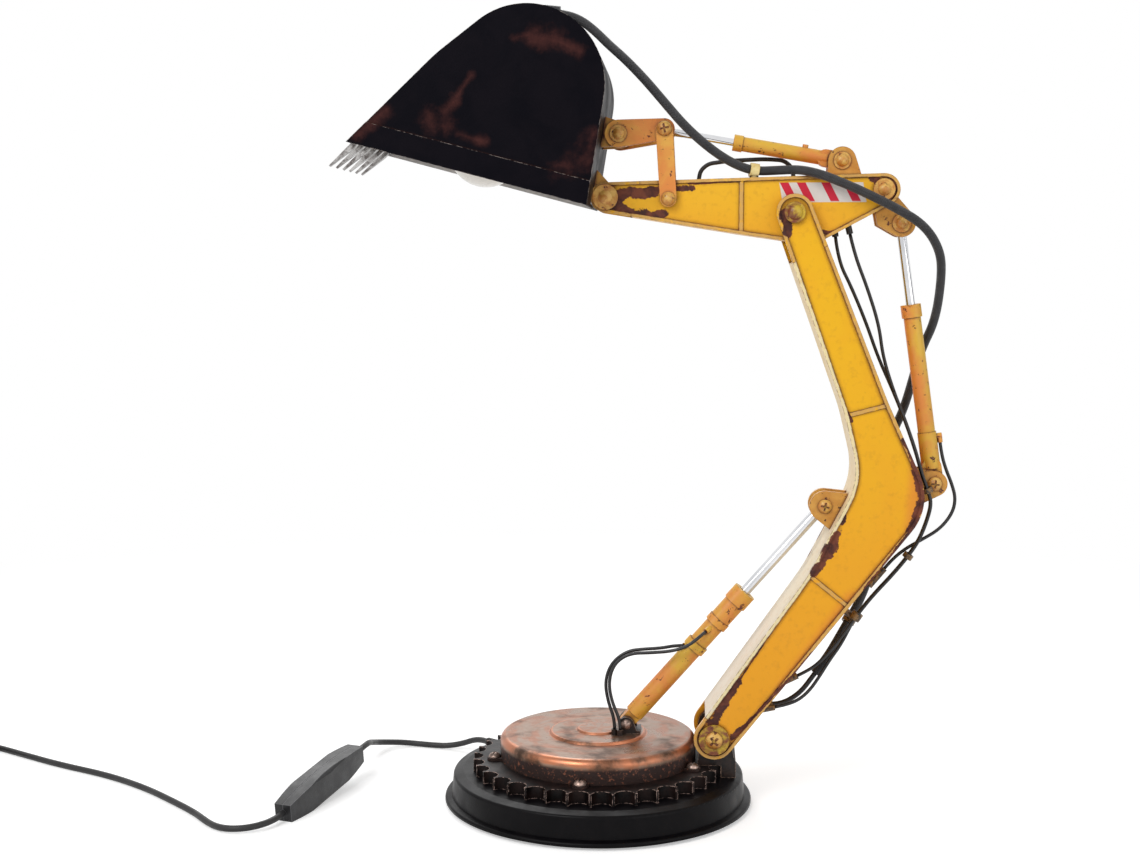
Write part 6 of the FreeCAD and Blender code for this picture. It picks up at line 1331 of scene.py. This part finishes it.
# %% Geometry trees for screws and ribs
def geometry_tree(name, sockets):
    group = bpy.data.node_groups.new(name, "GeometryNodeTree")
    rows = [("Geometry", "NodeSocketGeometry", None), *sockets]
    for label, kind, value in rows:
        socket = group.interface.new_socket(name=label, in_out="INPUT", socket_type=kind)
        if value is not None:
            socket.default_value = value
    group.interface.new_socket(name="Geometry", in_out="OUTPUT", socket_type="NodeSocketGeometry")
    given = group.nodes.new("NodeGroupInput").outputs
    return Tree(group), given, group.nodes.new("NodeGroupOutput").inputs["Geometry"]


def on_points(tree, given, shape, spin):
    """Puts a shape on every point, with the size and direction that the point carries."""
    carried = [tree.node("GeometryNodeInputNamedAttribute", {"Name": label},
                         data_type="FLOAT_VECTOR").outputs["Attribute"]
               for label in ("size", "facing")]
    aim = tree.node("FunctionNodeAlignRotationToVector", {"Vector": carried[1]}, axis="Z")
    turn = tree.node("FunctionNodeAxisAngleToRotation", {"Axis": (0.0, 0.0, 1.0), "Angle": spin})
    aimed = tree.node("FunctionNodeRotateRotation", {0: aim.outputs[0], 1: turn.outputs[0]},
                      rotation_space="LOCAL")
    copies = tree.node("GeometryNodeInstanceOnPoints",
                       {"Points": given["Geometry"], "Instance": shape,
                        "Rotation": aimed.outputs[0], "Scale": carried[0]})
    real = tree.node("GeometryNodeRealizeInstances", {0: copies.outputs[0]})
    return tree.node("GeometryNodeSetMaterial", {"Geometry": real.outputs[0],
                                                 "Material": given["Finish"]}).outputs[0]


def moved(tree, shape, place):
    return tree.node("GeometryNodeTransform", {"Geometry": shape, "Translation": place}).outputs[0]


screws, given, result = geometry_tree("cross-headed screws", [
    ("Slot Width", FLOAT, 0.24), ("Slot Length", FLOAT, 1.15), ("Slot Depth", FLOAT, 0.30),
    ("Seed", "NodeSocketInt", 5), ("Finish", "NodeSocketMaterial", None)])
dome = screws.node("GeometryNodeMeshUVSphere", {"Segments": 40, "Rings": 24, "Radius": 1.0})
head = screws.node("GeometryNodeMeshBoolean", {"Mesh 1": dome.outputs[0]}, operation="DIFFERENCE")
for along, across in ("XY", "YX"):
    size = screws.node("ShaderNodeCombineXYZ", {along: given["Slot Length"],
                                                across: given["Slot Width"], "Z": 1.0}).outputs[0]
    bar = screws.node("GeometryNodeMeshCube", {"Size": size}).outputs[0]
    depth = screws.sub(1.5, given["Slot Depth"])
    lift = screws.node("ShaderNodeCombineXYZ", {"Z": depth}).outputs[0]
    screws.put(moved(screws, bar, lift), head.inputs["Mesh 2"])
below = screws.node("GeometryNodeMeshCube", {"Size": (3.0, 3.0, 2.0)}).outputs[0]
screws.put(moved(screws, below, (0.0, 0.0, -1.02)), head.inputs["Mesh 2"])
spin = screws.node("FunctionNodeRandomValue", {2: 0.0, 3: math.pi / 2, "Seed": given["Seed"]},
                   data_type="FLOAT").outputs[1]
screws.put(on_points(screws, given, head.outputs[0], spin), result)

ribs, given, result = geometry_tree("grip ribs", [("Finish", "NodeSocketMaterial", None)])
rib = ribs.node("GeometryNodeMeshUVSphere", {"Segments": 24, "Rings": 14, "Radius": 1.0})
ribs.put(on_points(ribs, given, rib.outputs[0], 0.0), result)
print("trees", screws.tree.name, "and", ribs.tree.name)

# %% Growing a geometry tree on points
GROWN_SHARP = 32


def grow(name, tree, places, **inputs):
    """Runs a geometry tree on points given as (place in mm, direction, size in mm)."""
    points = bpy.data.meshes.new(name + "_points")
    points.from_pydata([tuple(metres(place)) for place, facing, size in places], [], [])
    columns = {"facing": [facing for place, facing, size in places],
               "size": [tuple(metres(size)) for place, facing, size in places]}
    for label, column in columns.items():
        layer = points.attributes.new(label, "FLOAT_VECTOR", "POINT")
        for item, value in zip(layer.data, column):
            item.vector = value
    carrier = new_piece(name + "_points", points)
    modifier = carrier.modifiers.new("grow", "NODES")
    modifier.node_group = tree
    for socket in tree.interface.items_tree:
        if socket.in_out == "INPUT" and socket.name in inputs:
            modifier[socket.identifier] = inputs[socket.name]
    graph = bpy.context.evaluated_depsgraph_get()
    mesh = bpy.data.meshes.new_from_object(carrier.evaluated_get(graph))
    bpy.data.objects.remove(carrier)
    return new_piece(name, mesh, GROWN_SHARP)


print("a grown edge is sharp from", GROWN_SHARP, "degrees")

# %% Screw heads on the arm, the links, the dish and the terminal block
OUT_OF_SIDE = (0.0, -1.0, 0.0)
UP = (0.0, 0.0, 1.0)
DOWN = (0.0, 0.0, -1.0)
TAB_REACH, TAB_TOP = 62.9, 28.2
TAB_COUNT = 5
TAB_START, TAB_STEP = -96, 72
CLAMPS = [(reach, off) for reach in (54.5, 65.5) for off in (-5.5, 5.5)]
CLAMP_HEIGHT = 6.35
COVER_SIDE, COVER_TOP = 0.15, 0.7  # how far a head reaches past the solid one, in mm


def head_on(x, seat, z, radius, height):
    """A head on the near side that just covers the plain head of the solid bolt."""
    wide = radius + COVER_SIDE
    return (x, -seat, z), OUT_OF_SIDE, (wide, wide, height + COVER_TOP)


tab_turns = [math.radians(TAB_START + TAB_STEP * n) for n in range(TAB_COUNT)]
tab_heads = [((TAB_REACH * math.cos(turn), TAB_REACH * math.sin(turn), TAB_TOP), UP,
              (3.75, 3.75, 2.9)) for turn in tab_turns]
block_heads = [((SLEEVE_WAY[0] * (reach + off), SLEEVE_WAY[1] * (reach - off), CLAMP_HEIGHT), DOWN,
                (2.3, 2.3, 1.3)) for reach, off in CLAMPS]
boom_heads = [head_on(134, 7.6, 182, 4.0, 2.2), head_on(197.5, 7.6, 196, 4.0, 2.4),
              head_on(70, 21.6, 43.5, 5.0, 2.6)]
SCREWS = {
    "screws_on_boom": ("boom", bolt_brass, boom_heads),
    "screws_on_links": ("rocker", bolt_brass, [head_on(38.5, 18.2, 401.5, 4.2, 2.2)]),
    "screws_on_dish": ("base", screw_steel, tab_heads),
    "screws_in_block": ("base", nickel, block_heads),
}
for name, (body, finish, places) in SCREWS.items():
    heads = grow(name, screws.tree, places, Finish=finish, Seed=len(name))
    dress(heads, finish, "fastener_steel", body)
    print(name, len(places), "heads,", len(heads.data.polygons), "faces")

# %% Grip ribs on the plug
PLUG_X, PLUG_END, PLUG_HEIGHT = -475.5, 33.0, 6.9
RIB_COUNT = 6
RIB_SIZE = (12.0, 0.7, 0.75)
RIB_START, RIB_STEP, RIB_LIFT = 31.0, 2.6, 6.7
rib_places = [((PLUG_X, PLUG_END - RIB_START - RIB_STEP * n, PLUG_HEIGHT + RIB_LIFT), UP, RIB_SIZE)
              for n in range(RIB_COUNT)]
plug_ribs = grow("plug_grip_ribs", ribs.tree, rib_places, Finish=black_plastic)
dress(plug_ribs, black_plastic, "plug_plastic", "base")
print("plug ribs", len(rib_places))

# %% [markdown]
# ## Terminal block under the pan
#
# The lead of the lamp and the mains cord meet in a small block that is stuck under the roof of the
# base. Nobody sees it in use, but whoever turns the lamp over does. A bevelled body with a ridge
# between the two poles and four clamping screws is enough for it to be understood.

# %% Body of the terminal block
BLOCK_SIZE = (16.0, 20.0, 9.0)
RIDGE_SIZE = (16.0, 1.6, 9.0)
RIDGE_DROP = -1.2
BLOCK_REACH, BLOCK_HEIGHT = 60.0, 10.9
BLOCK_TURN = 135
BLOCK_SHARP = 50


def block_body():
    shape = bmesh.new()
    for size, drop in ((BLOCK_SIZE, 0.0), (RIDGE_SIZE, RIDGE_DROP)):
        made = bmesh.ops.create_cube(shape, size=1.0)["verts"]
        bmesh.ops.scale(shape, verts=made, vec=metres(size))
        bmesh.ops.translate(shape, verts=made,
                            vec=(BLOCK_REACH * MM, 0.0, (BLOCK_HEIGHT + drop) * MM))
    bmesh.ops.bevel(shape, geom=list(shape.edges), offset=0.7 * MM, segments=3, affect="EDGES",
                    profile=0.6)
    bmesh.ops.rotate(shape, verts=shape.verts, cent=(0, 0, 0),
                     matrix=Matrix.Rotation(math.radians(BLOCK_TURN), 3, "Z"))
    return new_piece("terminal_block", mesh_of("terminal_block", shape), BLOCK_SHARP)


block_white = cast("block_nylon", (222, 220, 212), (206, 204, 196), rough=(0.35, 0.5),
                   grain_height=0.03)
dress(block_body(), block_white, "black_plastic", "base", "base_wiring")
print("terminal block", BLOCK_SIZE)

# %% Last line: bring the view layer up to date
bpy.context.view_layer.update()
